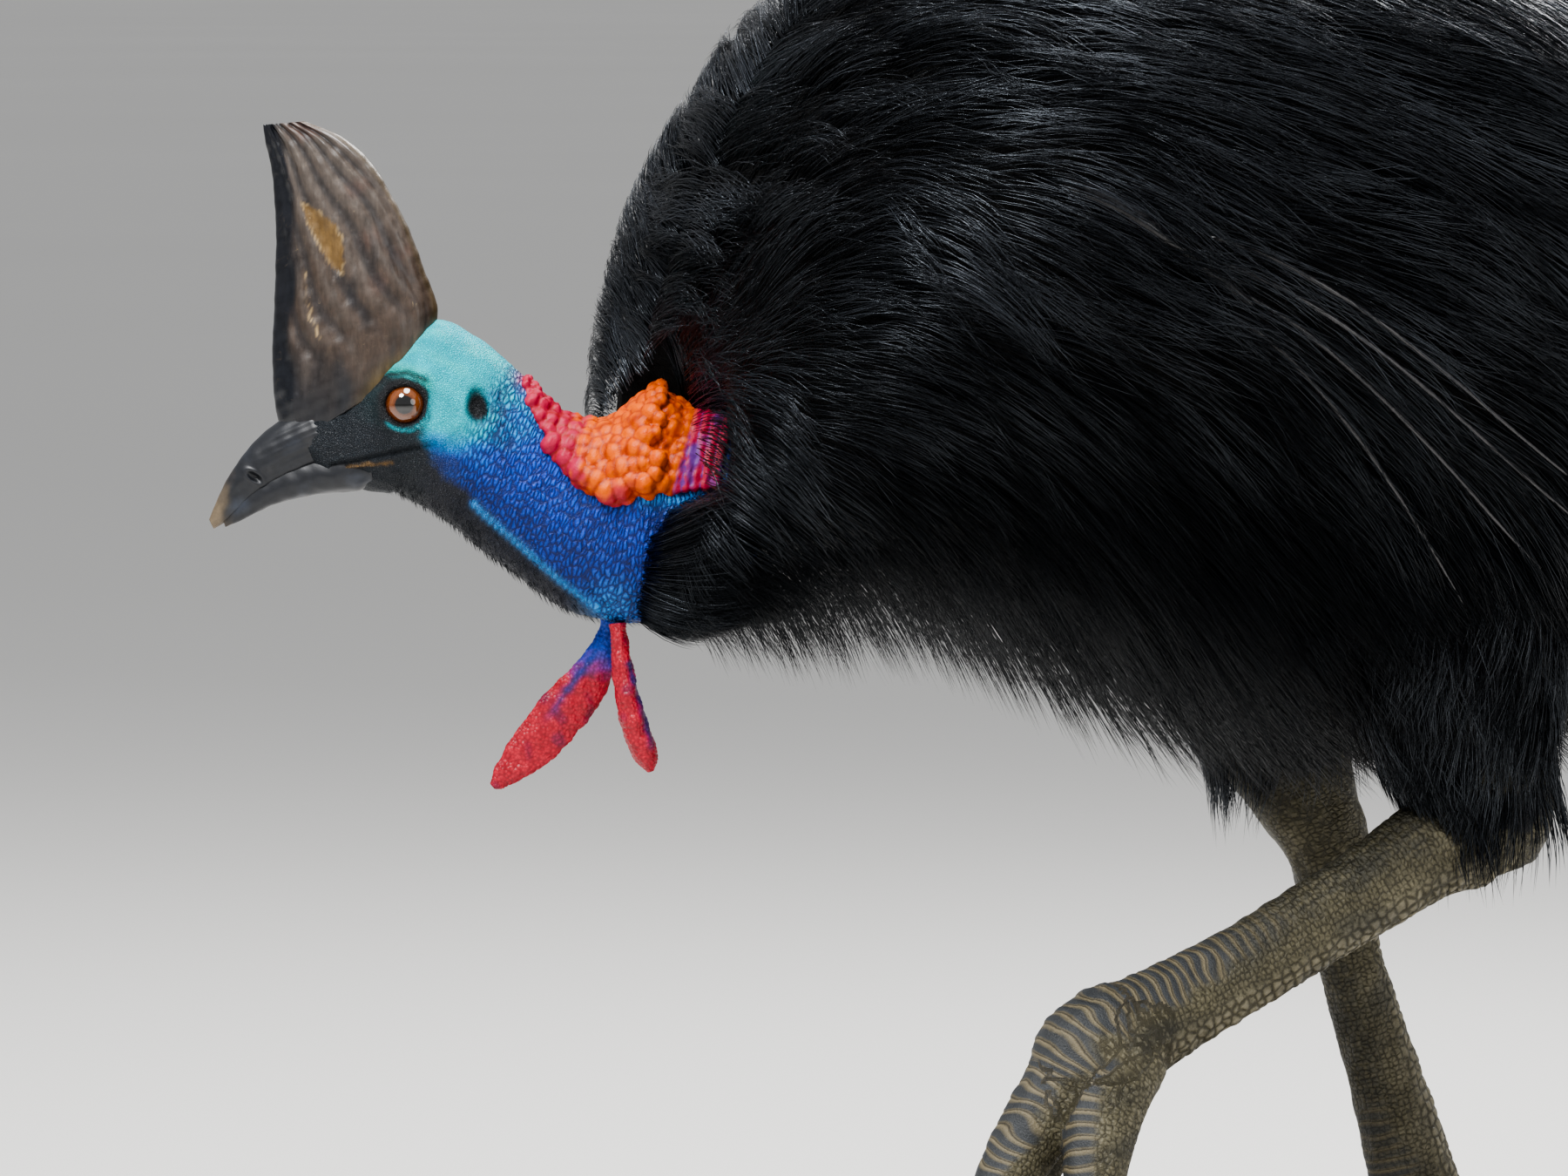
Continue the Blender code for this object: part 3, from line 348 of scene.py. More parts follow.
places = even_places(SKIN_ROWS, FACE_START, len(SKIN_ROWS) - 1, HEAD_STEP)
places, angles = grid(places, rounds(HEAD_SIDES) - math.pi)
tuck = -1.2 * (1 - smooth(FACE_START, BILL_TUCK, places))
points, out = on_form(SKIN_ROWS, HEAD_AXES, places, angles, tuck)
ahead, height, aside = drawn(HEAD_AXES, points)
flank = np.abs(np.sin(angles))
row_run = np.arange(places.shape[0])[:, None] * HEAD_STEP
neck_share = smooth(-40, -66, ahead + 0.4 * height)
rough = waves(points, 0.021, 3)
finer = waves(points, 0.009, 4)
folds = row_run / WRINKLE_PITCH + 0.9 * rough + 0.35 * finer
folds += 0.4 * np.sin(angles * 11 + 2 * rough)
ridge = 1 - np.abs(np.sin(math.pi * folds)) ** 0.7
lift = -WRINKLE_DEPTH * ridge * neck_share + 0.35 * rough * (0.3 + neck_share)
lift += 0.16 * finer
beads = np.cos(math.tau * row_run / BEAD_PITCH + rough) * np.cos(angles * 19 + finer)
lift += 0.28 * beads * neck_share
far, run = off_line(THROAT_RIDGE, ahead, height)
lift += flank * (1.5 * bell(far, 2.6) * (0.75 + 0.25 * np.cos(math.tau * run / RIDGE_PITCH)))
lift -= flank * 0.8 * bell(far - 6, 2.4)
far = off_line(MOUTH_LINE, ahead, height)[0]
lift += flank ** 0.5 * (0.8 * bell(far - 3.2, 1.6) - 1.9 * bell(far, 1.1))
brow = off_line([(34, 12), (20, 19), (2, 21), (-14, 18), (-24, 6)], ahead, height)[0]
lift += flank * 1.5 * bell(brow, 3.6)
cheek = off_line([(6, -22), (-12, -24), (-26, -20), (-34, -10)], ahead, height)[0]
lift += flank * 0.9 * bell(cheek, 3.5)
ear = off_ear(ahead, height)
lift += flank * (1.1 * bell(ear - 8.5, 2.2) - 5.5 * bell(ear, EAR_SIZE, 4))
points += out * (lift * MM)[..., None]
ahead, height, aside = drawn(HEAD_AXES, points)
round_eye = np.hypot(ahead, height * np.where(height > 0, 1.14, 1.04))
lids = np.interp(round_eye, *zip(*LID_PROFILE)) + 0.35 * np.sin(6 * np.arctan2(height, ahead))
share = np.interp(round_eye, (0, 15.5, 21), (1, 1, 0))
target = np.sign(aside) * lids
points += HEAD_LEFT * ((target - aside) * share * MM)[..., None]
head_skin = shell("skin", points)
girths = spline(SKIN_ROWS, places)[..., 5] + 4
head_lie = np.stack([row_run + 0 * angles, angles * girths, 0 * angles], -1).reshape(-1, 3)
head_lie = np.vstack([head_lie, np.zeros((2, 3))]) * MM

# The colours of the bare skin: turquoise on the crown and behind the eye, sky blue and then
# cobalt down the neck, black on the face and throat, with a light blue ridge and a line of
# pink beads that runs up to the nape.
TURQUOISE, SKY_BLUE, COBALT = (0.006, 0.40, 0.47), (0.004, 0.17, 0.50), (0.006, 0.045, 0.36)
VIOLET_BLUE, DEEP_BLUE, SKIN_BLACK = ((0.022, 0.045, 0.27), (0.006, 0.018, 0.10),
                                      (0.008, 0.009, 0.011))
RIDGE_BLUE, BEAD_PINK, LID_GREEN = (0.035, 0.30, 0.72), (0.48, 0.03, 0.11), (0.02, 0.34, 0.30)
GAPE_YELLOW, CROWN_HIGHLIGHT = (0.42, 0.22, 0.05), (0.05, 0.60, 0.60)
NECK_BACK, NECK_DOWN = 0.864, 0.504
NAPE_LINE = [(-70, 16), (-84, 1), (-100, -14), (-118, -27), (-132, -38)]


def toward(colours, other, share):
    """Colours moved towards another one by the share at each point."""
    colours = np.asarray(colours)
    return colours + (np.asarray(other) - colours) * np.clip(share, 0, 1)[..., None]


def store(item, name, values):
    """A value, a colour or, under the name lie, a place for each corner of a mesh."""
    values = np.asarray(values, np.float32)
    kind, field = "FLOAT", "value"
    if name == "lie":
        kind, field = "FLOAT_VECTOR", "vector"
    elif values.ndim == 2:
        kind, field = "FLOAT_COLOR", "color"
        values = np.hstack([values, np.ones((len(values), 1), np.float32)])
    item.data.attributes.new(name, kind, "POINT").data.foreach_set(field, values.ravel())


spots = corners_of(head_skin)
ahead, height, aside = drawn(HEAD_AXES, spots)
run = -(ahead + 20) * NECK_BACK - height * NECK_DOWN
under = (ahead + 20) * NECK_DOWN - height * NECK_BACK
blotch = waves(spots, 0.016, 8)
speck = waves(spots, 0.006, 9)
# Painted highlight: paler turquoise in patches towards the top of the crown.
tint = toward(TURQUOISE, CROWN_HIGHLIGHT, 0.5 * smooth(0, 26, height) * smooth(-0.6, 1.2, blotch))
tint = toward(tint, SKY_BLUE, smooth(22, 50, run + 4 * blotch) * 0.9)
low_cheek = smooth(14, 30, -height + 3 * blotch) * smooth(4, 20, -ahead)
tint = toward(tint, SKY_BLUE, low_cheek)
tint = toward(tint, COBALT, smooth(26, 40, -height + 4 * blotch) * smooth(4, 20, -ahead) * 0.8)
# Painted shade: deep blue along a line behind the ear.
shade_behind_ear = off_line([(-55, 8), (-60, -14), (-58, -34), (-66, -52)], ahead, height)[0]
tint = toward(tint, DEEP_BLUE, bell(shade_behind_ear, 7) * (0.5 + 0.35 * speck))
tint = toward(tint, COBALT, smooth(34, 74, run + 5 * blotch + 0.35 * under))
tint = toward(tint, VIOLET_BLUE, smooth(84, 122, run + 7 * blotch) * 0.75)
tint = toward(tint, SKY_BLUE, smooth(-0.2, 1.6, speck) * 0.35 * smooth(20, 60, run))
tint = toward(tint, DEEP_BLUE, smooth(14, 36, under + 4 * blotch) * 0.8)
tint = toward(tint, COBALT, smooth(4, 22, -height + 0.2 * ahead) * smooth(20, 60, -ahead) * 0.5)
far, along = off_line(NAPE_LINE, ahead, height)
tint = toward(tint, BEAD_PINK, bell(far, 5.5) * (0.55 + 0.45 * np.sin(along * 1.3)))
brow = off_line([(28, 14), (12, 20.5), (-4, 19), (-14, 12)], ahead, height)[0]
tint = toward(tint, LID_GREEN, bell(brow, 5) * 0.5)
black = inside(BLACK_FACE, ahead + 1.5 * blotch, height + 1.5 * speck, 4.0)
tint = toward(tint, SKIN_BLACK, black * 0.97)
tint = toward(tint, LID_GREEN, bell(brow, 2.2) * 0.75)
far, along = off_line(THROAT_RIDGE, ahead, height)
tint = toward(tint, RIDGE_BLUE,
              bell(far, 2.4) * (0.6 + 0.3 * np.cos(math.tau * along / RIDGE_PITCH)))
tint = toward(tint, RIDGE_BLUE, bell(np.hypot(ahead + 124, height + 124), 14) * 0.6)
far = off_line([(-146, -57), (-160, -58), (-176, -56), (-196, -46)], ahead, height)[0]
tint = toward(tint, RIDGE_BLUE, bell(far, 5) * 0.7)
round_eye = np.hypot(ahead, height)
tint = toward(tint, SKIN_BLACK, 1 - smooth(15.0, 18.0, round_eye + blotch))
lower_lid = bell(round_eye - 15.6, 0.9) * smooth(2, 9, -height - 0.55 * ahead)
tint = toward(tint, TURQUOISE, lower_lid * 0.8)
# Painted shade: a black line along the upper lid, under the brow.
brow_shade_line = off_line([(20, 10), (10, 17.5), (-2, 19), (-13, 15)], ahead, height)[0]
tint = toward(tint, SKIN_BLACK, bell(brow_shade_line, 1.9) * 0.9)
# Painted shade: black in the open ear.
ear = off_ear(ahead, height)
tint = toward(tint, SKIN_BLACK, 1 - smooth(4.5, 9.0, ear + blotch))
far = off_line([(40, -40), (26, -37), (8, -36)], ahead, height)[0]
tint = toward(tint, GAPE_YELLOW,
              bell(far + 0.5 * speck, 0.9) * 0.4 * smooth(-0.5, 0.8, blotch + 0.4))
store(head_skin, "tint", tint)
neck_mask = smooth(-36, -58, ahead + 0.5 * height) * (1 - 0.8 * black)
store(head_skin, "wrinkled", neck_mask + 0.35 * smooth(10, 25, -height) * (1 - neck_mask))
for name in ("horn", "rear", "plates", "plate_run"):
    store(head_skin, name, np.zeros(len(spots)))
store(head_skin, "lie", head_lie)

# The skin of the body, hidden under the coat, and of the legs: bare from just above the
# hock down, with wide overlapping plates down the front of the lower leg and the toes,
# round scales behind, a fine net between, and creases where the toes meet.
FORWARD = np.array((-1.0, 0.0, 0.0))
# Stations of the body are as those of the head; those of the legs give the place, the
# half width and the half depth, in millimetres.
BODY_ROWS = np.array([
    (-378, 650, -392, 530, 22, 48, 0.0), (-386, 692, -372, 519, 14, 98, 0.12),
    (-374, 748, -318, 535, 7, 152, 0.14), (-339, 828, -245, 543, 3, 196, 0.10),
    (-277, 912, -176, 532, 0, 226, 0.05), (-186, 966, -116, 508, 0, 240, 0.0),
    (-63, 991, -38, 474, 0, 245, -0.05), (58, 981, 60, 455, 0, 245, -0.05),
    (182, 938, 165, 462, 0, 232, -0.05), (295, 855, 270, 470, 0, 205, -0.03),
    (391, 750, 365, 480, 0, 160, 0.0), (457, 643, 440, 492, 0, 100, 0.0),
    (488, 575, 484, 530, 0, 30, 0.0)])
CORE_DEPTH, FRONT_DEPTH, CORE_START, CORE_NARROW, CORE_STEPS, CORE_SIDES = 24, 16, 1.15, 100, 40, 56
SOCKET_BACK, NECK_HALF, NECK_MIDDLE, COAT_DARK = -205, (36, 23, 58), -62, 0.002
LEGS = {
    "left": {
        "thigh": [(70, -125, 600, 53, 83), (95, -122, 520, 51, 69), (108, -118, 462, 43, 55),
                  (126, -113, 412, 29, 37)],
        "shank": [(75, -120, 500, 32, 40), (104, -115, 450, 31, 39), (124, -111, 412, 31, 42),
                  (134, -110, 386, 29, 40), (140, -110, 364, 18, 22)],
        "tarsus": [(118, -110, 386, 26, 34), (87, -110, 377, 25, 31), (43, -110, 353, 22, 28),
                   (2, -110, 332, 21, 27), (-41, -110, 310, 21, 27), (-88, -110, 288, 23, 29),
                   (-122, -110, 273, 28, 33)],
        "knuckle": [(-112, -110, 281, 22, 26), (-128, -110, 272, 30, 35), (-146, -110, 256, 33, 38),
                    (-160, -110, 238, 26, 30)],
        "middle": [(-128, -110, 270, 30, 34), (-152, -109, 252, 26, 30), (-180, -107, 220, 21, 23),
                   (-203, -105, 182, 19, 19), (-214, -103, 150, 16, 15), (-216, -102, 126, 11, 11)],
        "outer": [(-126, -118, 262, 24, 28), (-146, -130, 232, 21, 25), (-158, -141, 196, 18, 20),
                  (-162, -147, 168, 14, 15), (-160, -150, 148, 9, 10)],
        "inner": [(-126, -102, 262, 24, 28), (-146, -88, 232, 20, 23), (-160, -78, 202, 17, 18),
                  (-166, -74, 180, 12, 13)]},
    "right": {
        "thigh": [(35, 122, 600, 53, 83), (70, 116, 520, 51, 67), (88, 110, 470, 41, 51),
                  (98, 106, 436, 31, 43)],
        "shank": [(68, 109, 500, 32, 42), (100, 104, 425, 31, 44), (112, 101, 395, 28, 36),
                  (126, 96, 362, 25, 28), (133, 93, 338, 25, 28), (138, 92, 318, 20, 23)],
        "tarsus": [(134, 93, 335, 23, 26), (137, 92, 305, 20, 21), (142, 91, 280, 20, 21),
                   (164, 89, 213, 21, 24), (181, 87, 157, 23, 28), (198, 86, 100, 26, 29),
                   (206, 85, 74, 23, 26)],
        "knuckle": [(204, 85, 92, 22, 25), (210, 85, 72, 29, 33), (208, 85, 55, 32, 38),
                    (200, 85, 42, 26, 34)],
        "middle": [(214, 85, 66, 29, 32), (180, 84, 56, 25, 28), (140, 82, 45, 21, 21),
                   (98, 80, 41, 19, 18), (66, 78, 38, 16, 15), (44, 77, 36, 11, 11)],
        "outer": [(210, 92, 62, 24, 28), (178, 108, 50, 20, 24), (144, 124, 42, 17, 18),
                  (116, 137, 38, 14, 14), (98, 145, 35, 9, 10)],
        "inner": [(210, 78, 62, 24, 28), (180, 60, 50, 20, 24), (152, 46, 42, 17, 18),
                  (132, 38, 38, 12, 13)]}}
LEG_AHEAD = {name: FORWARD for name in LEGS["left"]}
RIGHT_TOE_AHEAD = {name: UP for name in ("middle", "outer", "inner")}
LEG_VOXEL, LEG_STEPS, LEG_SIDES, LEG_BARE = 0.0025, 8, 40, (418, 436)
PLATE_START = {"left": (130, 215), "right": (120, 210)}
PLATE_PITCH = {"thigh": 12.0, "shank": 11.0, "tarsus": 7.6, "knuckle": 7.2, "middle": 8.4,
               "outer": 8.0, "inner": 8.0}
PLATE_RISE, PLATE_GROOVE, SCALE_RISE, SCALE_SIZE = 0.9, 0.8, 0.55, 7.5
LEG_OLIVE, LEG_PALE, LEG_DARK = (0.092, 0.084, 0.055), (0.20, 0.185, 0.135), (0.036, 0.037, 0.034)


def on_limb(rows, places, angles, ahead, grow=0.0):
    """Points on a limb, whose rows give its middle and two half widths, and the way out."""
    row, rest = spline(rows, places), spline(rows, np.asarray(places) + 0.02)
    back = spline(rows, np.asarray(places) - 0.02)
    tangent = unit(rest[..., :3] - back[..., :3])
    side = unit(np.cross(ahead, tangent))
    depth = np.cross(tangent, side)
    angles, grow = np.asarray(angles)[..., None], np.asarray(grow)[..., None]
    point = (row[..., :3] + depth * (row[..., 4:5] + grow) * np.cos(angles)
             + side * (row[..., 3:4] + grow) * np.sin(angles))
    out = depth * np.cos(angles) / row[..., 4:5] + side * np.sin(angles) / row[..., 3:4]
    return SHIFT + point * MM, unit(out)


def on_body(places, angles, grow=0.0):
    return on_form(BODY_ROWS, BODY_AXES, places, angles, grow)


def limb_shell(name, rows, ahead, steps, sides):
    """A closed body over the rows of a limb, with that many steps from row to row."""
    places, angles = grid(np.linspace(0, len(rows) - 1, (len(rows) - 1) * steps + 1), rounds(sides))
    return shell(name, on_limb(rows, places, angles, ahead)[0])


def only(item, *others):
    """Selects an object, and others with it."""
    bpy.ops.object.select_all(action="DESELECT")
    for each in (item, *others):
        each.select_set(True)
    bpy.context.view_layer.objects.active = item


def joined(parts):
    """One object out of several, under the name of the first."""
    only(*parts)
    bpy.ops.object.join()
    return parts[0]


def softened(item):
    """An object with smooth shading, selected by itself."""
    only(item)
    bpy.ops.object.shade_smooth()


def applied(item, kind, **values):
    """A modifier that is set and applied."""
    change = item.modifiers.new(kind.lower(), kind)
    for name, value in values.items():
        setattr(change, name, value)
    only(item)
    bpy.ops.object.modifier_apply(modifier=change.name)


def fused(first, others):
    """One body out of closed bodies that overlap."""
    for other in others:
        applied(first, "BOOLEAN", operation="UNION", solver="MANIFOLD", object=other)
        bpy.data.objects.remove(other)


def cells(u, v, seed):
    """How much nearer a point of a jittered net of round cells is to its own cell's middle
    than to the next one's, which is 0 in the grooves between them."""
    first, second = np.full(u.shape, 9.0), np.full(u.shape, 9.0)
    for i in (-1, 0, 1):
        for j in (-1, 0, 1):
            x, y = np.floor(u) + i, np.floor(v) + j
            jitter = np.sin(x * 127.1 + y * 311.7 + seed) * 43758.5453
            other = np.sin(x * 269.5 + y * 183.3 + seed) * 43758.5453
            far = np.hypot(x + 0.2 + 0.6 * (jitter % 1) - u, y + 0.2 + 0.6 * (other % 1) - v)
            second = np.minimum(second, np.maximum(first, far))
            first = np.minimum(first, far)
    return second - first


def off_neck(height, aside):
    """How many half widths a spot is from the middle of the neck's end, and its angle from
    the top there. The right side counts as narrower."""
    left, right, half = NECK_HALF
    rise = (height - NECK_MIDDLE) / half
    return (np.hypot(aside / np.where(aside > 0, left, right), rise),
            np.degrees(np.arctan2(np.abs(aside) / left, rise)))


def dots(first, second):
    """The scalar product, row by row."""
    return np.einsum("ij,ij->i", first, second)


def leg_lie(spots, rows_of, ahead_of):
    """For each spot on a leg: the piece that it is on, how far down that piece, the angle
    round it and its radius there, in millimetres."""
    best = np.full(len(spots), 1e9)
    piece, down, turn, radius = (np.zeros(len(spots)) for _ in range(4))
    local = (spots - SHIFT) / MM
    for index, (name, rows) in enumerate(rows_of.items()):
        fine = np.linspace(0, len(rows) - 1, 14 * len(rows))
        row = spline(rows, fine)
        tangent = unit(np.gradient(row[:, :3], axis=0))
        side = unit(np.cross(ahead_of[name], tangent))
        depth = np.cross(tangent, side)
        run = np.concatenate([[0], np.cumsum(np.linalg.norm(np.diff(row[:, :3], axis=0), axis=1))])
        width = (row[:, 3] + row[:, 4]) / 2
        near = np.empty(len(local), int)
        for k in range(0, len(local), 8000):
            part = local[k:k + 8000]
            off = np.linalg.norm(part[:, None] - row[None, :, :3], axis=2)
            near[k:k + 8000] = np.argmin(off, axis=1)
        off = local - row[near, :3]
        lift = np.abs(np.linalg.norm(off, axis=1) / width[near] - 1)
        closer = lift < best
        best = np.where(closer, lift, best)
        piece = np.where(closer, index, piece)
        down = np.where(closer, run[near] + dots(off, tangent[near]), down)
        angle = np.arctan2(dots(off, side[near]), dots(off, depth[near]))
        turn = np.where(closer, angle, turn)
        radius = np.where(closer, width[near], radius)
    return piece, down, turn, radius


places = np.linspace(CORE_START, len(BODY_ROWS) - 1, CORE_STEPS)
places, angles = grid(places, rounds(CORE_SIDES))
row = spline(BODY_ROWS, places)
depth = (-CORE_DEPTH * np.minimum(1, row[..., 5] / CORE_NARROW)
         - FRONT_DEPTH * (1 - smooth(CORE_START, 3.0, places)))
points = on_body(places, angles, depth)[0]
ahead, height, aside = drawn(HEAD_AXES, points)
socket = smooth(2.7, 1.7, off_neck(height, aside)[0])
set_back = np.maximum(ahead - SOCKET_BACK, 0) * -0.9 * socket
body_skin = shell("body_skin", points + HEAD_AHEAD * (set_back * MM)[..., None])
leg_skins = []
for side, rows_of in LEGS.items():
    ahead_of = {**LEG_AHEAD, **(RIGHT_TOE_AHEAD if side == "right" else {})}
    leg = joined([limb_shell(name, rows, ahead_of[name], LEG_STEPS, LEG_SIDES)
                  for name, rows in rows_of.items()])
    applied(leg, "REMESH", mode="VOXEL", voxel_size=LEG_VOXEL)
    applied(leg, "SMOOTH", factor=0.5, iterations=4)
    spots, ways = corners_of(leg), corners_of(leg, "normal")
    piece, down, turn, radius = leg_lie(spots, rows_of, ahead_of)
    names = list(rows_of)
    bare = piece >= names.index("shank")
    low = spots[:, 2] / MM
    pitch = np.array([PLATE_PITCH[name] for name in names])[piece.astype(int)]
    uneven = waves(spots, 0.03, 21)
    plate_run = down / pitch + 0.22 * uneven + 0.03 * np.degrees(turn) / pitch * np.sin(down / 9)
    front = 1 - smooth(48, 74, np.abs(np.degrees(turn)) + 9 * uneven)
    tarsus, foot = piece == names.index("tarsus"), piece > names.index("tarsus")
    length = np.where(tarsus, smooth(*PLATE_START[side], down + 12 * uneven), 1.0)
    plates = front * np.where(tarsus | foot, length, 0.0) * bare
    share = plate_run % 1
    rise = (PLATE_RISE * (0.55 + 0.45 * share) * smooth(0, 0.16, share)
            * (1 - smooth(0.86, 1, share)))
    edge = cells(down / SCALE_SIZE, turn * radius / SCALE_SIZE, 5.0)
    scales = SCALE_RISE * smooth(0.02, 0.4, edge)
    behind = smooth(100, 135, np.abs(np.degrees(turn)))
    scales *= 0.55 + 0.9 * behind * tarsus + 0.5 * smooth(0, 40, 90 - down) * tarsus
    creases = np.sin(down / 1.5 + 2.5 * uneven) * 0.22 * (piece == names.index("knuckle"))
    lift = (plates * (rise - PLATE_GROOVE * 0.5) + (1 - plates) * (scales - 0.2) + creases) * bare
    lift += 0.5 * waves(spots, 0.018, 23) * bare
    spots += ways * (lift * MM)[:, None]
    spots[:, 2] = np.maximum(spots[:, 2], BASE_SIZE[2] + 0.0003)
    move_corners(leg, spots)
    tint = toward(LEG_OLIVE, LEG_PALE, 0.55 * behind * bare * smooth(0.0, 0.35, edge))
    tint = toward(tint, LEG_PALE, 0.35 * smooth(-0.4, 1.2, waves(spots, 0.05, 24)))
    tint = toward(tint, LEG_DARK, 0.45 * smooth(0.1, 1.4, waves(spots, 0.035, 25)))
    tint = toward(tint, LEG_DARK, 0.6 * front * tarsus * (1 - length) * smooth(0.0, 0.3, edge))
    tint = toward(tint, SKIN_BLACK, np.maximum(1.0 - bare, smooth(*LEG_BARE, low)))
    store(leg, "tint", tint)
    store(leg, "horn", bare.astype(float))
    store(leg, "plates", plates)
    store(leg, "plate_run", plate_run)
    store(leg, "rear", behind * tarsus + 0.35 * bare)
    store(leg, "wrinkled", np.zeros(len(spots)))
    store(leg, "lie", np.stack([down, turn * (radius * 0.5 + 11), 90 * piece], 1) * MM)
    leg_skins.append(leg)
under_coat = corners_of(body_skin)
for name in ("tint", "horn", "plates", "plate_run", "rear", "wrinkled"):
    store(body_skin, name, 0 * under_coat + COAT_DARK if name == "tint" else 0 * under_coat[:, 0])
store(body_skin, "lie", under_coat)
fused(body_skin, [head_skin, *leg_skins])
skin = body_skin
skin.name = "skin"
tints = np.empty(len(skin.data.vertices) * 4, np.float32)
skin.data.attributes["tint"].data.foreach_get("color", tints)
tints = tints.reshape(-1, 4)
tints[tints[:, :3].min(axis=1) > 0.99] = (COAT_DARK, COAT_DARK, COAT_DARK, 1.0)
skin.data.attributes["tint"].data.foreach_set("color", tints.ravel())
softened(skin)


def painted(tree, name, output="Fac"):
    """What a piece's mesh holds under a name."""
    return add(tree, "Attribute", attribute_name=name).outputs[output]


def ranged(tree, source, **values):
    """A number moved from one range to another."""
    return add(tree, "MapRange", {"Value": source}, **values).outputs["Result"]


def maths(tree, operation, *sources):
    """A sum or the like of numbers, each a socket."""
    return add(tree, "Math", enumerate(sources), operation=operation).outputs[0]


look, tree, shader, place = nodes_of("bare_skin", (0.02, 0.2, 0.35), 0.5, Specular_IOR_Level=0.32)
tint = painted(tree, "tint", "Color")
horn, plate, plate_run, rear, wrinkled = (
    painted(tree, name) for name in ("horn", "plates", "plate_run", "rear", "wrinkled"))
mottled = add(tree, "TexNoise", {"Vector": place}, Scale=70.0, Detail=5.0, Roughness=0.65).outputs
mottle = mottled["Fac"]
fine = noise(tree, place, 900.0, 3.0)
lie = painted(tree, "lie", "Vector")
nudge = add(tree, "Mix", {4: lie, 5: mottled["Color"]}, data_type="VECTOR")
nudge.inputs[0].default_value = 0.005
warped = nudge.outputs[1]


def net(source, scale, squeeze, low, high, uneven):
    """A net of cells: 0 in its grooves and 1 on its bumps; squeeze makes them wider than long."""
    lay = add(tree, "Mapping", {"Vector": source}, Scale=(squeeze, 1.0, 1.0)).outputs["Vector"]
    cell = add(tree, "TexVoronoi", {"Vector": lay}, Scale=scale, feature="DISTANCE_TO_EDGE",
               Randomness=uneven)
    return ranged(tree, cell.outputs["Distance"], From_Min=low, From_Max=high,
                  interpolation_type="SMOOTHSTEP")


def blended(share, first, second):
    node = add(tree, "Mix", {2: first, 3: second}, data_type="FLOAT")
    tree.links.new(share, node.inputs[0])
    return node.outputs[0]


small, large = net(warped, 250, 1.25, 0.02, 0.30, 0.62), net(warped, 150, 1.0, 0.02, 0.30, 0.7)
beads, pores = net(warped, 215, 1.9, 0.0, 0.40, 0.85), net(place, 800, 1.0, 0.0, 0.3, 1.0)
scales = blended(rear, small, large)
bare_relief = blended(wrinkled, pores, beads)
share = maths(tree, "FRACT", plate_run)
plate_tone = ramp(tree, share, (0.0, (0.030, 0.026, 0.018)), (0.10, (0.17, 0.142, 0.088)),
                  (0.28, (0.090, 0.078, 0.052)), (0.40, (0.030, 0.032, 0.034)),
                  (0.80, (0.036, 0.039, 0.042)), (0.93, (0.098, 0.083, 0.053)),
                  (1.0, (0.030, 0.026, 0.018)))
# Painted shade and light: the leg scales darker in the grooves between them and a little lighter on
# their tops.
groove = ramp(tree, scales, (0.0, (0.30, 0.28, 0.22)), (0.5, (0.78, 0.76, 0.68)),
              (1.0, (1.1, 1.06, 1.0)))
horny = mixed(tree, plate, mixed(tree, 1.0, tint, groove, "MULTIPLY"), plate_tone)
# Painted shade and light: the wrinkles, pores and beads of the bare skin darker in their grooves
# and lighter on their crests, most of all on the neck.
crease_shade_ramp = ramp(tree, bare_relief, (0.0, (0.10, 0.11, 0.20)), (0.5, (0.72, 0.76, 0.86)),
            (1.0, (1.3, 1.35, 1.2)))
crease_shade_share = ranged(tree, wrinkled, To_Min=0.30, To_Max=0.95)
soft_tone = mixed(tree, crease_shade_share, tint, mixed(tree, 1.0, tint, crease_shade_ramp, "MULTIPLY"))
tone = mixed(tree, horn, soft_tone, horny)
shade = ramp(tree, mottle, (0.28, (0.36, 0.36, 0.36)), (0.7, (0.66, 0.66, 0.66)))
tone = mixed(tree, 0.7, tone, shade, "OVERLAY")
relief = blended(plate, blended(horn, bare_relief, scales), share)
relief = maths(tree, "ADD", relief, fine)
dressed(tree, shader, tone, (relief, 0.7, 0.0013), (mottle, 0.36, 0.62))
skin.data.materials.clear()
skin.data.materials.append(look)
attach(skin, "root")
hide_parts("torso", "rump", "neck", "head", "thigh_left", "thigh_right", "shank_left",
            "shank_right", "tarsus_left", "tarsus_right", "foot_left", "foot_right")

# The casque: a tall blade of keratin over light bone on the crown. Its sides are worn and
# ridged from base to tip, its front edge is thick, black and polished, and a thin flake
# has come off near that edge. It grows from the skull, with a rim at its base.
CASQUE_ROWS = np.array([
    (72, -27, -13, 25, 0, 19.0, -0.10), (79, -5, -19, 56, 0, 21.0, -0.15),
    (80, 27, -12, 79, 0, 18.5, -0.2), (79, 64, -3, 103, 0, 15.5, -0.2),
    (78, 101, 10, 129, 0, 12.5, -0.2), (80, 135, 25, 149, 0, 9.5, -0.2),
    (84, 156, 40, 161, 0, 7.0, -0.1), (86, 168, 61, 170, 0, 4.0, 0.0)])
CASQUE_STEPS, CASQUE_SIDES, RIDGE_COUNT = 150, 176, 13
FLAKE = [(63, 121), (55, 118), (42, 108), (37, 96), (38, 78), (44, 82), (52, 96), (59, 109)]
CRACK, HORN_CREAM, SCRATCH_PALE = (
    [(62, 82), (60, 62), (52, 44), (44, 30)], (0.34, 0.24, 0.12), (0.30, 0.22, 0.12))
CASQUE_BROWN, CASQUE_GREY, CASQUE_BLACK = ((0.040, 0.026, 0.018), (0.082, 0.068, 0.058),
                                           (0.005, 0.006, 0.009))
CASQUE_OLIVE, FLAKE_TAN, CASQUE_RED = ((0.075, 0.050, 0.012), (0.125, 0.070, 0.018),
                                       (0.070, 0.030, 0.021))


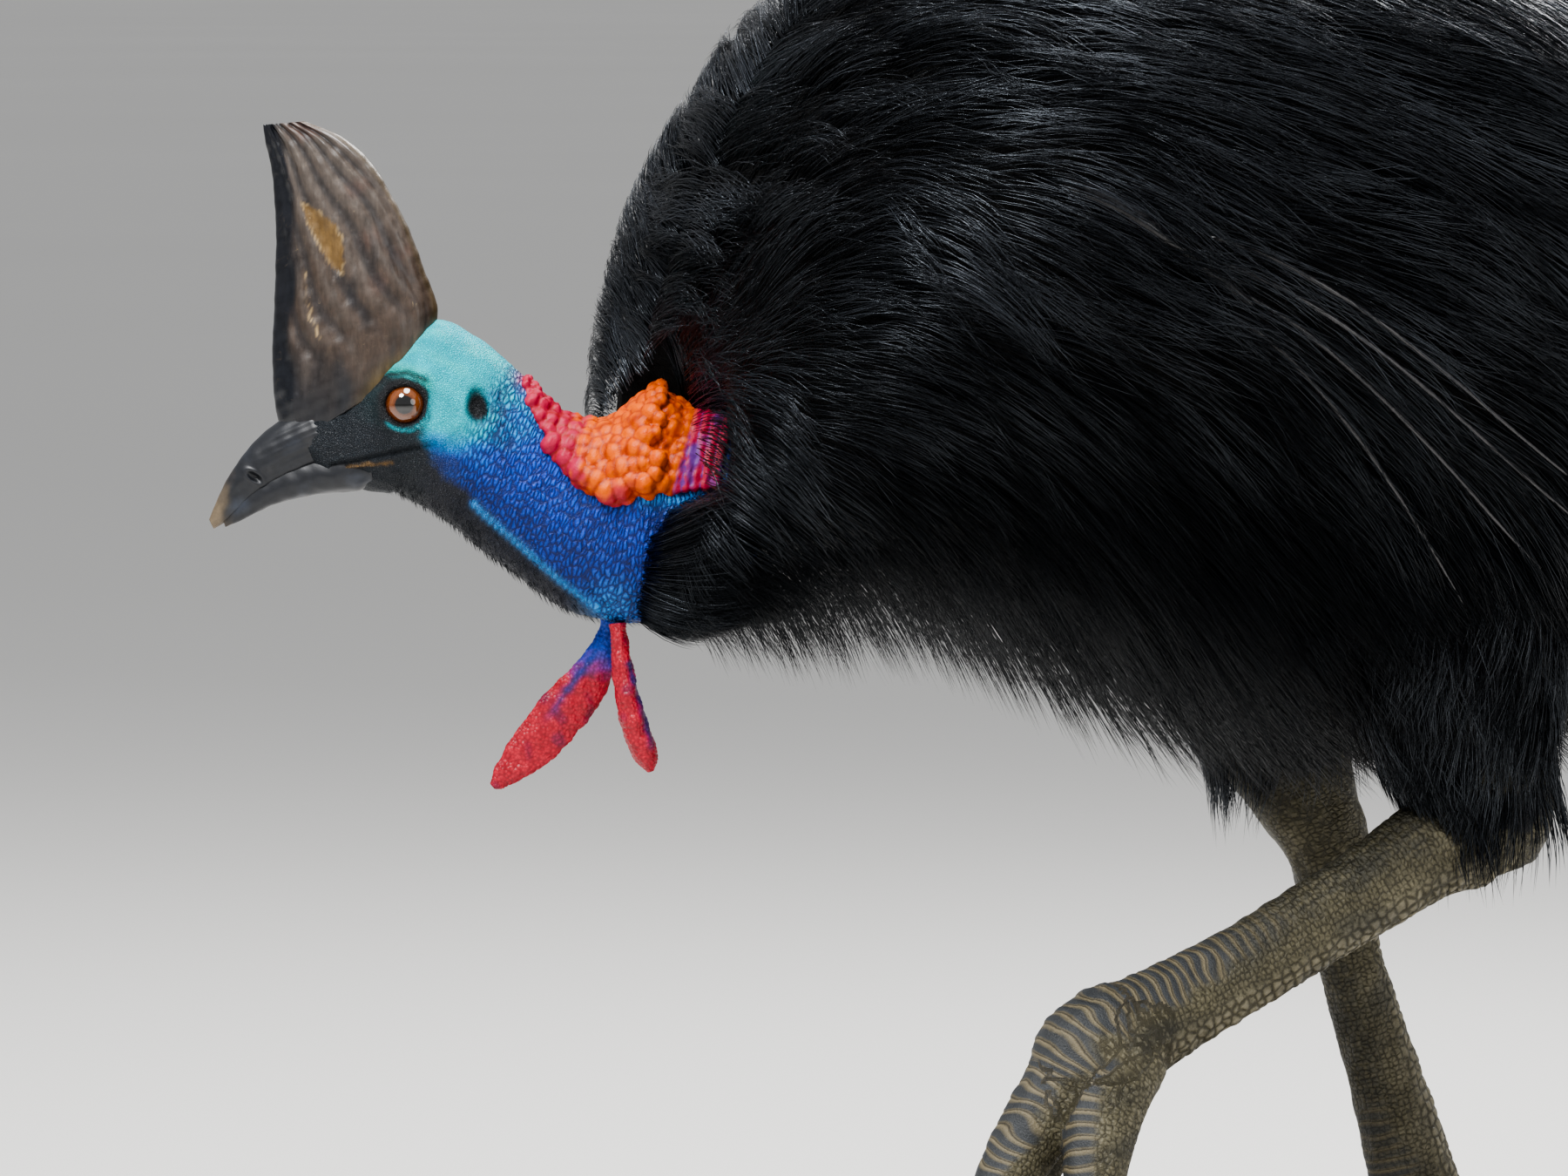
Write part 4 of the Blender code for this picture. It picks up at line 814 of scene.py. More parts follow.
def closed_grid(name, rows, axes, places, sides, shape):
    """A closed body over stations; shape gives the height of its relief in millimetres."""
    places, angles = grid(places, rounds(sides))
    points, out = on_form(rows, axes, places, angles)
    return shell(name, points + out * (shape(places, angles, points) * MM)[..., None])


def from_top(angles):
    """The angle from the top of a form, the same on both sides."""
    return np.abs((angles + math.pi) % math.tau - math.pi)


def casque_ridges(places, angles, points):
    """The ridges on the sides, from -1 in a groove to 1 on a crest."""
    height = drawn(HEAD_AXES, points)[1]
    flank = smooth(0.35, 0.8, np.abs(np.sin(angles)))
    turn = from_top(angles) * RIDGE_COUNT + 0.9 * waves(points, 0.06, 31) + 0.12 * height
    return flank * np.sin(turn) * smooth(0.5, 2.5, places)


def casque_relief(places, angles, points):
    ahead, height, aside = drawn(HEAD_AXES, points)
    wander = waves(points, 0.06, 31)
    flank = smooth(0.35, 0.8, np.abs(np.sin(angles)))
    side_angle = from_top(angles)
    lift = 1.1 * casque_ridges(places, angles, points) + 0.22 * waves(points, 0.012, 32)
    lift += 0.16 * flank * np.sin(side_angle * 47 + 2 * wander) + 0.4 * wander
    lift -= 0.4 * smooth(0.5, 1.6, waves(points, 0.02, 33))
    lift -= 0.65 * inside(FLAKE, ahead + 0.8 * waves(points, 0.007, 34), height, 0.8) * (aside > 0)
    lift += 0.9 * (1 - smooth(0.25, 0.55, side_angle)) * smooth(0.7, 2, places)
    return lift + 1.1 * bell(places - 0.35, 0.25) * smooth(1.8, 2.6, side_angle)


places = np.linspace(0, len(CASQUE_ROWS) - 1, CASQUE_STEPS)
casque = closed_grid("horn_casque", CASQUE_ROWS, HEAD_AXES, places, CASQUE_SIDES, casque_relief)
softened(casque)
spots = corners_of(casque)
places, angles = grid(places, rounds(CASQUE_SIDES))
ridges = casque_ridges(places, angles, on_form(CASQUE_ROWS, HEAD_AXES, places, angles)[0])
ridges = np.append(ridges, (0, 0))
ahead, height, aside = drawn(HEAD_AXES, spots)
fine_places = np.linspace(0, len(CASQUE_ROWS) - 1, 300)
row = spline(CASQUE_ROWS, fine_places)
front_edge = np.interp(height, np.sort(row[:, 1]), row[np.argsort(row[:, 1]), 0])
rear_row = np.argsort(row[:, 3])
rear_edge = np.interp(height, row[rear_row, 3], row[rear_row, 2])
blotch, streak = waves(spots, 0.035, 35), waves(spots * (1, 1, 0.25), 0.010, 36)
tint = toward(CASQUE_BROWN, CASQUE_GREY, smooth(60, 150, height + 14 * blotch) * 0.6)
tint = toward(tint, CASQUE_RED,
              smooth(0.2, 1.6, blotch) * 0.6 * (1 - smooth(20, 45, ahead - rear_edge)))
tint = toward(tint, CASQUE_GREY, smooth(0.5, 1.8, streak) * 0.55)
tint = toward(tint, CASQUE_BLACK, smooth(0.6, 1.9, -streak) * 0.5)
# Painted shade and light: the ridges darker in their grooves and greyer on their crests.
tint = toward(tint, CASQUE_BLACK, smooth(0.0, 1.0, -ridges) * 0.6)
tint = toward(tint, CASQUE_GREY, smooth(0.3, 1.0, ridges) * 0.35)
keel = 1 - smooth(8, 13, front_edge - ahead + 1.5 * streak)
store(casque, "keel", keel)
tint = toward(tint, CASQUE_BLACK, keel * 0.97)
low_front = 1 - smooth(-8, 44, height + 0.55 * (45 - ahead) + 7 * streak)
tint = toward(tint, CASQUE_BLACK, low_front * 0.92)
low_rear = ((1 - smooth(5, 26, height - 25 + 0.9 * (ahead + 13) + 4 * blotch))
            * smooth(40, 18, ahead))
tint = toward(tint, CASQUE_OLIVE, low_rear * 0.9)
rear = 1 - smooth(1, 5, ahead - rear_edge)
tint = toward(tint, CASQUE_OLIVE, rear * smooth(20, 50, height) * 0.35)
frayed = ahead + 0.8 * waves(spots, 0.007, 34)
flake = inside(FLAKE, frayed, height, 0.8) * (aside > 0)
tint = toward(tint, FLAKE_TAN, flake * 0.85)
rim = off_line(FLAKE + FLAKE[:1], frayed, height)[0]
rim = bell(rim, 0.7) * smooth(-0.6, 0.6, waves(spots, 0.011, 37)) * (aside > 0)
cracks = off_line(CRACK, ahead + 1.6 * waves(spots, 0.009, 38), height)[0]
cracks = bell(cracks, 0.6) * (aside > 0)
tint = toward(tint, HORN_CREAM, np.maximum(rim, cracks * smooth(-0.8, 0.5, streak)) * 0.8)
store(casque, "tint", tint)
look, tree, shader, place = nodes_of("worn_horn", CASQUE_BROWN, 0.42, Specular_IOR_Level=0.55)
tint = painted(tree, "tint", "Color")
along = add(tree, "Mapping", {"Vector": place}, Scale=(1.0, 1.0, 0.18))
streaks = noise(tree, along.outputs["Vector"], 330.0, 5.0, 0.7)
wear = noise(tree, place, 95.0, 8.0, 0.72)
scratch = noise(tree, place, 46.0, 3.0, Distortion=1.6)
line = ramp(tree, scratch, (0.494, (0, 0, 0)), (0.5, (1, 1, 1)), (0.506, (0, 0, 0)))
tone = mixed(tree, 0.8, tint, streaks, "SOFT_LIGHT")
grey = ramp(tree, wear, (0.35, (0.34, 0.34, 0.34)), (0.65, (0.62, 0.62, 0.62)))
tone = mixed(tree, 0.8, tone, grey, "OVERLAY")
pale = ranged(tree, maths(tree, "MULTIPLY", line, wear), From_Min=0.45, From_Max=0.62, To_Max=0.55)
tone = mixed(tree, pale, tone, SCRATCH_PALE)
polish = ranged(tree, painted(tree, "keel"), To_Min=1.0, To_Max=0.35)
gloss = maths(tree, "MULTIPLY", ranged(tree, wear, To_Min=0.16, To_Max=0.62), polish)
tree.links.new(gloss, shader.inputs["Roughness"])
dressed(tree, shader, tone, (maths(tree, "ADD", streaks, wear), 0.3, 0.0006))
casque.data.materials.append(look)
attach(casque, "root")
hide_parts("casque")

# The bill: two black horny sheaths over the jaws, the upper with a blunt ridge, a hooked
# pale tip, a long groove and an open nostril in it. The skin of the face laps over their
# back ends.
BILL_LOWER_ROWS = np.array([
    (113, -66, 110, -76, 0, 2.0, -0.2), (105, -56, 98, -71, 0, 4.6, -0.3),
    (90, -42, 82, -63, 0, 7.2, -0.35), (66, -28, 59, -57, 0, 11.5, -0.4),
    (47, -21, 41, -55, 0, 15.5, -0.4), (29, -15, 24, -54, 0, 19.0, -0.4),
    (15, -12, 10, -52, 0, 20.5, -0.4)])
BILL_LAST, BILL_SIDES, BILL_STEPS = 5.35, 100, 140
NOSTRIL, BILL_GROOVE = (92, -45), [(104, -56), (92, -47), (70, -34), (50, -24)]
BILL_BLACK, BILL_BLUE, BILL_TIP = (0.011, 0.012, 0.015), (0.03, 0.036, 0.05), (0.16, 0.12, 0.075)


def upper_relief(places, angles, points):
    ahead, height = drawn(HEAD_AXES, points)[:2]
    flank = smooth(0.3, 0.9, np.abs(np.sin(angles)))
    nostril = np.hypot((ahead - NOSTRIL[0]) * 0.84 + (height - NOSTRIL[1]) * 0.54,
                       ((height - NOSTRIL[1]) * 0.84 - (ahead - NOSTRIL[0]) * 0.54) * 2.2)
    groove = off_line(BILL_GROOVE, ahead, height)[0]
    lift = -flank * (2.6 * bell(nostril, 4.6, 4) - 0.7 * bell(nostril - 7, 2))
    lift -= flank * 0.55 * bell(groove, 2.6)
    edge = from_top(angles)
    lift -= 2.2 * smooth(4.9, 5.3, places)
    lift += 0.5 * bell(edge - 2.3, 0.16) + 0.14 * waves(points, 0.011, 41)
    return lift + 0.25 * np.sin(height * 1.3 + ahead * 0.6) * flank * smooth(2.5, 4.5, places)


def lower_relief(places, angles, points):
    return 0.14 * waves(points, 0.011, 42) - 2.5 * smooth(4.6, 5.2, places)


look, tree, shader, place = nodes_of("bill_horn", BILL_BLACK, 0.3, Specular_IOR_Level=0.45)
tint = painted(tree, "tint", "Color")
fibre = noise(tree, place, 260.0, 6.0, 0.7)
worn = noise(tree, place, 60.0, 5.0)
tone = mixed(tree, 0.7, tint, fibre, "SOFT_LIGHT")
dust = ramp(tree, worn, (0.6, (0, 0, 0)), (0.85, (0.035, 0.032, 0.028)))
tone = mixed(tree, 0.6, tone, dust, "ADD")
dressed(tree, shader, tone, (fibre, 0.25, 0.0004), (worn, 0.30, 0.55))
for name, node, rows, shape in (("bill_top", "bill_upper", HEAD_ROWS, upper_relief),
                                ("bill_under", "bill_lower", BILL_LOWER_ROWS, lower_relief)):
    places = np.linspace(0, BILL_LAST, BILL_STEPS)
    sheath = closed_grid(name, rows, HEAD_AXES, places, BILL_SIDES, shape)
    softened(sheath)
    spots = corners_of(sheath)
    ahead, height, aside = drawn(HEAD_AXES, spots)
    tint = toward(BILL_BLACK, BILL_BLUE, smooth(0.3, 1.6, waves(spots, 0.03, 43)) * 0.6)
    tint = toward(tint, BILL_TIP, smooth(104, 118, ahead + 2 * waves(spots, 0.01, 44)) * 0.8)
    store(sheath, "tint", tint)
    sheath.data.materials.append(look)
    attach(sheath, "root")
    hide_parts(node)

# The eyes: dark round pupils in orange-brown irises under a clear wet cornea, set deep
# behind the lids, where a narrow dark ring shows round each iris.
EYE_RADIUS, EYE_SIDE, IRIS, PUPIL = 15.5, 17.5, 11.4, 5.4
EYE_RINGS, EYE_SEGMENTS, CORNEA_RISE = 96, 96, 1.3
look, tree, shader, place = nodes_of("eye_wet", (0.2, 0.06, 0.015), 0.06, Coat_Weight=1.0,
                                     Coat_Roughness=0.02, Specular_IOR_Level=0.6)
ring = painted(tree, "ring")
fibre = noise(tree, place, 700.0, 4.0)
band = ramp(tree, ring, (0.0, (0.0008, 0.0008, 0.0008)), (PUPIL / 20, (0.001, 0.001, 0.001)),
            (PUPIL / 20 + 0.015, (0.07, 0.017, 0.003)), (0.38, (0.155, 0.044, 0.009)),
            (0.50, (0.105, 0.027, 0.006)), (IRIS / 20 - 0.01, (0.05, 0.012, 0.004)),
            (0.60, (0.002, 0.002, 0.003)))
tone = mixed(tree, 0.6, band, fibre, "SOFT_LIGHT")
dressed(tree, shader, tone)
for name, sign in (("left", 1), ("right", -1)):
    centre = EYE_MID + HEAD_LEFT * sign * EYE_SIDE * MM
    gaze = HEAD_LEFT * sign
    tilt, turn = grid(math.pi * np.arange(1, EYE_RINGS) / EYE_RINGS, rounds(EYE_SEGMENTS))
    radius = EYE_RADIUS + CORNEA_RISE * bell(tilt, 0.62, 4)
    wide = (EYE_RADIUS * np.sin(tilt))[..., None]
    across = HEAD_AHEAD * sign * np.cos(turn)[..., None] + UP * np.sin(turn)[..., None]
    points = centre + (gaze * (radius * np.cos(tilt))[..., None] + across * wide) * MM
    eye = shell("eyeball_" + name, points)
    softened(eye)
    spots = corners_of(eye) - centre
    off = np.linalg.norm(spots - np.outer(spots @ gaze, gaze), axis=1) / MM
    store(eye, "ring", np.where(spots @ gaze > 0, off, 20.0) / 20)
    eye.data.materials.append(look)
    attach(eye, "root")
    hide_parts("eye_" + name)

# The caruncles: soft orange lobes on the nape, packed side by side and highest at the
# back, with small pink beads in front of them and pink and violet folds behind.
LOBE_VOXEL, LOBE_SEED, FOLD_LOBES = 0.0012, 5, 28
# Rows: place along the neck, reach to each side in degrees, count, size and height in
# millimetres.
LOBE_ROWS = [(11.9, 26, 6, 2.6, 0.8), (12.3, 34, 8, 3.0, 1.0), (12.7, 40, 9, 3.2, 1.2),
             (13.1, 46, 10, 3.6, 1.6), (13.5, 52, 11, 4.2, 2.2), (13.9, 58, 12, 4.8, 3.2),
             (14.3, 62, 13, 5.4, 4.4), (14.7, 66, 14, 5.6, 4.6), (15.1, 70, 15, 5.8, 5.0),
             (15.5, 74, 16, 5.8, 5.6), (15.9, 76, 16, 5.8, 6.4), (16.3, 77, 17, 5.6, 7.4),
             (16.7, 77, 17, 5.0, 8.6), (17.0, 76, 15, 4.2, 9.2), (17.28, 77, 15, 4.4, 1.6),
             (17.52, 78, 15, 4.0, 1.0)]
FOLD_ROWS, FOLD_ANGLES, FOLD_WIDTH = (17.86, 18.04, 18.22, 18.40, 18.58), (18, 78), 2.9
LOBE_ORANGE, LOBE_PINK = (0.56, 0.088, 0.0), (0.34, 0.014, 0.045)
LOBE_RED, LOBE_VIOLET, LOBE_CREVICE_SHADE = (0.48, 0.045, 0.0), (0.07, 0.03, 0.22), (0.20, 0.012, 0.002)


def on_head(places, angles, grow=0.0):
    return on_form(HEAD_ROWS, HEAD_AXES, places, angles, grow)


chance = np.random.default_rng(LOBE_SEED)
lobes = []
for place, reach, count, size, height in LOBE_ROWS:
    for k in range(count):
        angle = (-reach + 2 * reach * (k + 0.5 * (len(lobes) % 2)) / (count - 0.5)
                 + chance.normal(0, 2))
        peak = math.cos(math.radians(angle) * 0.9) ** 0.7
        size_here = size * chance.uniform(0.85, 1.15) * (1 + 0.22 * abs(angle) / reach)
        lobes.append((place + chance.normal(0, 0.06), angle,
                      height * (0.35 + 0.65 * peak) - size * 0.15,
                      size_here, chance.uniform(1.0, 1.35)))
        lobes.append((place + 0.2, angle + 0.5 * reach / count, height * 0.3 * peak - size * 0.5,
                      size * 1.15, 1.3))
lobe_groups = list(range(len(lobes)))
for place in FOLD_ROWS:
    for sign in (1, -1):
        lobe_groups.append(len(lobes))
        for angle in np.linspace(*FOLD_ANGLES, FOLD_LOBES):
            lobes.append((place - 0.003 * angle, sign * angle, 0.8 + 0.25 * math.sin(angle * 0.9),
                          FOLD_WIDTH, 1.1))
parts, lobe_spots = [], []
for place, angle, height, size, stretch in lobes:
    spot, out = on_head(np.array(place), np.array(math.radians(angle)), height)
    bpy.ops.mesh.primitive_uv_sphere_add(segments=16, ring_count=10, radius=1.0)
    lobe = bpy.context.object
    way = spline(HEAD_ROWS, place + 0.1)[:2] - spline(HEAD_ROWS, place - 0.1)[:2]
    tangent = unit(HEAD_AHEAD * way[0] + UP * way[1])
    tangent = unit(tangent - out * (tangent @ out))
    around = np.cross(out, tangent)
    ball = corners_of(lobe) * size * MM
    move_corners(lobe, spot + ball[:, :1] * tangent + ball[:, 1:2] * around * stretch
                 + ball[:, 2:] * out * 1.1)
    parts.append(lobe)
    lobe_spots.append(spot)
caruncle = joined(parts)
caruncle.name = "nape_caruncles"
applied(caruncle, "REMESH", mode="VOXEL", voxel_size=LOBE_VOXEL)
spots = corners_of(caruncle)
off = np.stack([np.linalg.norm(spots - middle, axis=1) / (lobe[3] * MM)
                for middle, lobe in zip(lobe_spots, lobes)])
off = np.partition(np.minimum.reduceat(off, lobe_groups, axis=0), 1, axis=0)
# How near a point is to the crevice between two lobes, for the painted shade there.
crevice_shade = 1 - smooth(0.0, 0.30, off[1] - off[0])
applied(caruncle, "SMOOTH", factor=0.5, iterations=1)
spots, ways = corners_of(caruncle), corners_of(caruncle, "normal")
move_corners(caruncle, spots + ways * (0.22 * waves(spots, 0.0045, 51) * MM)[:, None])
softened(caruncle)
ahead, height, aside = drawn(HEAD_AXES, spots)
back = -ahead - 0.35 * height
low = smooth(-42, -52, height + 0.55 * (ahead + 130) + 3 * waves(spots, 0.012, 52))
tint = toward(LOBE_ORANGE, LOBE_RED, 0.5 * smooth(0.2, 1.6, waves(spots, 0.010, 53)))
tint = toward(tint, LOBE_PINK, 1 - smooth(101, 112, -ahead + 4 * waves(spots, 0.008, 54)))
tint = toward(tint, LOBE_PINK, low * (1 - smooth(130, 144, -ahead)) * 0.8)
folds = smooth(167, 171, -ahead - 0.3 * (height + 28))
# Painted shade: dark red in the crevices between the lobes; over the folds the violet is deepest in
# their crevices, also painted shade.
tint = toward(tint, LOBE_CREVICE_SHADE, crevice_shade * 0.75 * (1 - folds))
tint = toward(tint, LOBE_PINK, folds)
tint = toward(tint, LOBE_VIOLET,
              folds * np.maximum(crevice_shade, smooth(0.2, 1.4, waves(spots, 0.014, 55))) * 0.85)
store(caruncle, "tint", tint)
look, tree, shader, place = nodes_of("caruncle_flesh", LOBE_ORANGE, 0.38, Specular_IOR_Level=0.22)
tint = painted(tree, "tint", "Color")
mottle = noise(tree, place, 260.0, 4.0)
pores = add(tree, "TexVoronoi", {"Vector": place}, Scale=900.0)
tone = mixed(tree, 0.45, tint, mottle, "SOFT_LIGHT")
dressed(tree, shader, tone, (pores.outputs["Distance"], 0.3, 0.0004), (mottle, 0.34, 0.6))
caruncle.data.materials.append(look)
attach(caruncle, "root")
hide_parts("caruncle_nape")

# The wattles: two loose lappets of granular red skin that hang from the front of the
# neck, blue at their roots. The right one swings forward.
WATTLE_STEPS, WATTLE_SIDES, WATTLE_BLUE = 130, 64, (0.012, 0.022, 0.13)
WATTLE_GAP, WATTLE_GIRTH = 17, 9
# Rows: ahead, above and left of the eye, half depth and half width, in millimetres.
WATTLES = {
    "left": [(-128, -134, 8, 5, 6), (-129, -145, 9, 5, 7), (-131, -160, 10, 6, 9),
             (-134, -178, 11, 7, 12), (-139, -198, 11, 8, 13), (-145, -214, 11, 7, 10),
             (-148, -224, 11, 2, 3)],
    "right": [(-124, -132, -7, 6, 5), (-120, -148, -9, 7, 5), (-110, -170, -12, 13, 4),
              (-93, -191, -14, 15, 4), (-74, -213, -15, 13, 3.5), (-58, -229, -15, 7, 3),
              (-51, -235, -15, 2, 2)]}
WATTLE_RED, WATTLE_STREAK, GRAIN = (0.36, 0.015, 0.028), (0.10, 0.012, 0.05), 3.0
# A blue streak's line, the heights where red ends and blue begins, and the streak's width.
WATTLE_EDGES = {"left": ([(-135, -158), (-142, -178), (-149, -208)], -136, -130, 2.0),
                "right": ([(-117, -148), (-107, -163), (-90, -186), (-76, -205)], -172, -152, 2.6)}
look, tree, shader, place = nodes_of("wattle_flesh", WATTLE_RED, 0.42, Specular_IOR_Level=0.3)
tint = painted(tree, "tint", "Color")
grains = add(tree, "TexVoronoi", {"Vector": place}, Scale=480.0).outputs["Distance"]
mottle = noise(tree, place, 150.0, 4.0)
# Painted shade: the skin darker towards the gaps between the grains.
dark = ramp(tree, grains, (0.25, (0.62, 0.62, 0.62)), (0.7, (0.25, 0.25, 0.25)))
tone = mixed(tree, 0.6, tint, dark, "OVERLAY")
tone = mixed(tree, 0.5, tone, mottle, "SOFT_LIGHT")
domed = add(tree, "Math", {0: grains}, operation="MULTIPLY")
domed.inputs[1].default_value = -1.0
dressed(tree, shader, tone, (domed.outputs[0], 0.6, 0.0009), (mottle, 0.3, 0.55))
for name, rows in WATTLES.items():
    rows = np.array(rows, float)
    centre = ((EYE_MID - SHIFT) / MM + rows[:, :1] * HEAD_AHEAD + rows[:, 1:2] * UP
              + rows[:, 2:3] * HEAD_LEFT)
    limb = np.hstack([centre, rows[:, 4:5], rows[:, 3:4]])
    places, angles = grid(np.linspace(0, len(rows) - 1, WATTLE_STEPS), rounds(WATTLE_SIDES))
    points, out = on_limb(limb, places, angles, HEAD_AHEAD)
    edge = cells(places * WATTLE_GAP / GRAIN, angles * WATTLE_GIRTH / GRAIN, 7.0)
    lift = 0.45 * smooth(0.0, 0.5, edge) + 0.5 * waves(points, 0.014, 61)
    points = points + out * (lift * MM)[..., None]
    wattle = shell("lappet_" + name, points)
    softened(wattle)
    spots = corners_of(wattle)
    ahead, height, aside = drawn(HEAD_AXES, spots)
    tint = toward(WATTLE_RED, WATTLE_STREAK, 0.6 * smooth(0.5, 1.6, waves(spots, 0.02, 62)))
    line, low, high, wide = WATTLE_EDGES[name]
    far, run = off_line(line, ahead, height)
    streak = bell(far + 0.7 * waves(spots, 0.008, 64), wide) * (1 - smooth(38, 64, run))
    tint = toward(tint, WATTLE_BLUE, streak * 0.9)
    tint = toward(tint, COBALT, smooth(low, high, height + 3 * waves(spots, 0.01, 63)))
    store(wattle, "tint", tint)
    wattle.data.materials.append(look)
    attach(wattle, "root")
    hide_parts("wattle_" + name)

# The claws: curved black horn sheaths on the ends of the three toes of each foot. The
# inner one is a straight dagger, much longer than the others.
CLAWS = {
    "left": {
        "middle": [(-216, -102, 134, 9, 9), (-213, -101, 108, 7.5, 8), (-204, -100, 86, 1, 1.2)],
        "outer": [(-161, -149, 156, 8, 8), (-156, -151, 134, 6, 6.5), (-148, -152, 118, 1, 1.2)],
        "inner": [(-164, -75, 188, 9, 10), (-166, -69, 150, 8, 9), (-158, -64, 108, 4.5, 5),
                  (-146, -62, 84, 0.8, 1)]},
    "right": {
        "middle": [(52, 77, 37, 9, 9), (28, 76, 36, 7.5, 8), (2, 75, 29, 1, 1.2)],
        "outer": [(104, 142, 36, 8, 8), (86, 149, 35, 6, 6.5), (68, 155, 28.5, 1, 1.2)],
        "inner": [(142, 42, 39, 9, 10), (108, 26, 38, 8, 9), (66, 10, 34, 4.5, 5),
                  (36, 0, 29, 0.8, 1)]}}
CLAW_STEPS, CLAW_SIDES = 26, 40
look, tree, shader, place = nodes_of("claw_horn", (0.030, 0.028, 0.027), 0.4,
                                     Specular_IOR_Level=0.5)
fibre = noise(tree, place, 240.0, 6.0, 0.7)
worn = noise(tree, place, 48.0, 4.0)
tone = ramp(tree, worn, (0.35, (0.016, 0.015, 0.016)), (0.6, (0.05, 0.045, 0.04)),
            (0.78, (0.14, 0.12, 0.095)))
tone = mixed(tree, 0.7, tone, fibre, "SOFT_LIGHT")
dressed(tree, shader, tone, (fibre, 0.35, 0.0005), (fibre, 0.25, 0.6))
for side, toes in CLAWS.items():
    for toe, rows in toes.items():
        claw = limb_shell(f"nail_{toe}_{side}", rows, FORWARD if side == "left" else UP,
                          CLAW_STEPS, CLAW_SIDES)
        spots, ways = corners_of(claw), corners_of(claw, "normal")
        move_corners(claw, spots + ways * (0.12 * waves(spots, 0.006, 71) * MM)[:, None])
        softened(claw)
        claw.data.materials.append(look)
        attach(claw, "root")
        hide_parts(f"claw_{toe}_{side}")

# The plumage: loose hair-like feathers with no hooks to hold them together, so that each
# hangs by itself. They part along the spine and fall to both sides and back, short and
# fine over the shoulders and long over the rump, and end in a fringe under the body.
FEATHER_BLACK, FEATHER_HIGHLIGHT_GREY = (0.0035, 0.004, 0.005), (0.020, 0.023, 0.029)
FEATHER_BROWN = (0.016, 0.010, 0.007)
# Place along the body, length, pull down, root width and density.
FEATHER_ROWS = np.array([
    (0, 40, 0.06, 0.9, 2.2), (1, 42, 0.10, 0.9, 2.0), (2, 46, 0.16, 0.95, 1.8),
    (3, 56, 0.24, 1.05, 1.5), (4, 72, 0.32, 1.2, 1.15), (5, 88, 0.42, 1.4, 1.0),
    (6, 100, 0.52, 1.5, 0.9), (7, 108, 0.60, 1.6, 0.9), (8, 112, 0.68, 1.65, 0.9),
    (9, 112, 0.76, 1.65, 0.95), (10, 106, 0.85, 1.65, 1.0), (11, 90, 1.0, 1.6, 1.2),
    (12, 60, 1.2, 1.5, 1.4)])
FEATHER_COUNT, FEATHER_SEED, STATIONS = 46000, 17, (0.0, 0.22, 0.5, 0.78, 1.0)
ROOT_DEPTH, TIP_LIFT, BELLY_HANG, CLUMP = -19.0, 3.0, 46.0, (34.0, 12.0)
ROW_GAP, MEAN_GIRTH, CLUMP_PULL = 75, 190, 0.62


def strands(name, path, widths, tints, patches):
    """Closed three-sided tapering strands. The path gives each strand's middle at every
    station; patches give the place of its root on the unwrapped skin."""
    count, steps = path.shape[:2]
    along = unit(np.gradient(path, axis=1))
    side = unit(np.cross(along, UP + 0.31 * FORWARD))
    lift = np.cross(along, side)
    share = np.linspace(0, 1, steps)[:-1]
    size = widths[:, None] * (1 - 0.75 * share ** 1.6)[None] * MM / 2
    rings = []
    for k, (turn, flat) in enumerate(((0.0, 1.0), (2.1, 0.8), (4.2, 0.8))):
        offset = side[:, :-1] * math.cos(turn) + 0.62 * lift[:, :-1] * math.sin(turn)
        rings.append(path[:, :-1] + offset * (size * flat)[..., None])
    rings = np.stack(rings, 2).reshape(count, -1, 3)
    points = np.concatenate([rings, path[:, -1:]], 1)
    each = points.shape[1]
    quads = [(3 * s + k, 3 * s + (k + 1) % 3, 3 * s + 3 + (k + 1) % 3, 3 * s + 3 + k)
             for s in range(steps - 2) for k in range(3)]
    last = 3 * (steps - 2)
    threes = [(last + k, last + (k + 1) % 3, last + 3) for k in range(3)] + [(2, 1, 0)]
    pattern = np.array([v for face in quads + threes for v in face])
    sizes = np.array([4] * len(quads) + [3] * len(threes))
    corners = (pattern[None] + each * np.arange(count)[:, None]).ravel()
    starts = np.concatenate([[0], np.cumsum(np.tile(sizes, count))[:-1]])
    mesh = bpy.data.meshes.new(name)
    mesh.vertices.add(count * each)
    mesh.vertices.foreach_set("co", points.astype(np.float32).ravel())
    mesh.loops.add(len(corners))
    mesh.loops.foreach_set("vertex_index", corners.astype(np.int32))
    mesh.polygons.add(len(starts))
    mesh.polygons.foreach_set("loop_start", starts.astype(np.int32))
    mesh.polygons.foreach_set("use_smooth", np.ones(len(starts), bool))
    patch = np.array([(0.003 * (v // 3) / (steps - 1), 0.001 * (v % 3)) for v in pattern])
    bake = mesh.uv_layers.new(name="OFBake")
    bake.data.foreach_set("uv", (patches[:, None] + patch[None]).astype(np.float32).ravel())
    mesh.update(calc_edges=True)
    mesh.validate()
    item = linked(name, mesh)
    down = np.append(np.repeat(share, 3), 1.0)
    store(item, "down", np.tile(down, count))
    store(item, "tint", np.repeat(tints, each))
    return item


def scattered(rows, axes, count, density, chance, reach=180):
    """Roots spread over a form by their share of its surface."""
    first = chance.uniform(0, len(rows) - 1, count * 6)
    turn = np.radians(chance.uniform(-reach, reach, count * 6))
    base = on_form(rows, axes, first, turn)[0]
    down = on_form(rows, axes, first + 0.02, turn)[0] - base
    round_it = on_form(rows, axes, first, turn + 0.02)[0] - base
    weight = np.linalg.norm(np.cross(down, round_it), axis=1) * density(first, turn)
    keep = np.sort(chance.choice(len(first), count, replace=False, p=weight / weight.sum()))
    stretch = np.linalg.norm(down[keep], axis=1) / 0.02 / MM
    girth = np.linalg.norm(round_it[keep], axis=1) / 0.02 / MM
    return first[keep], turn[keep], np.maximum(stretch, 25), np.maximum(girth, 12)


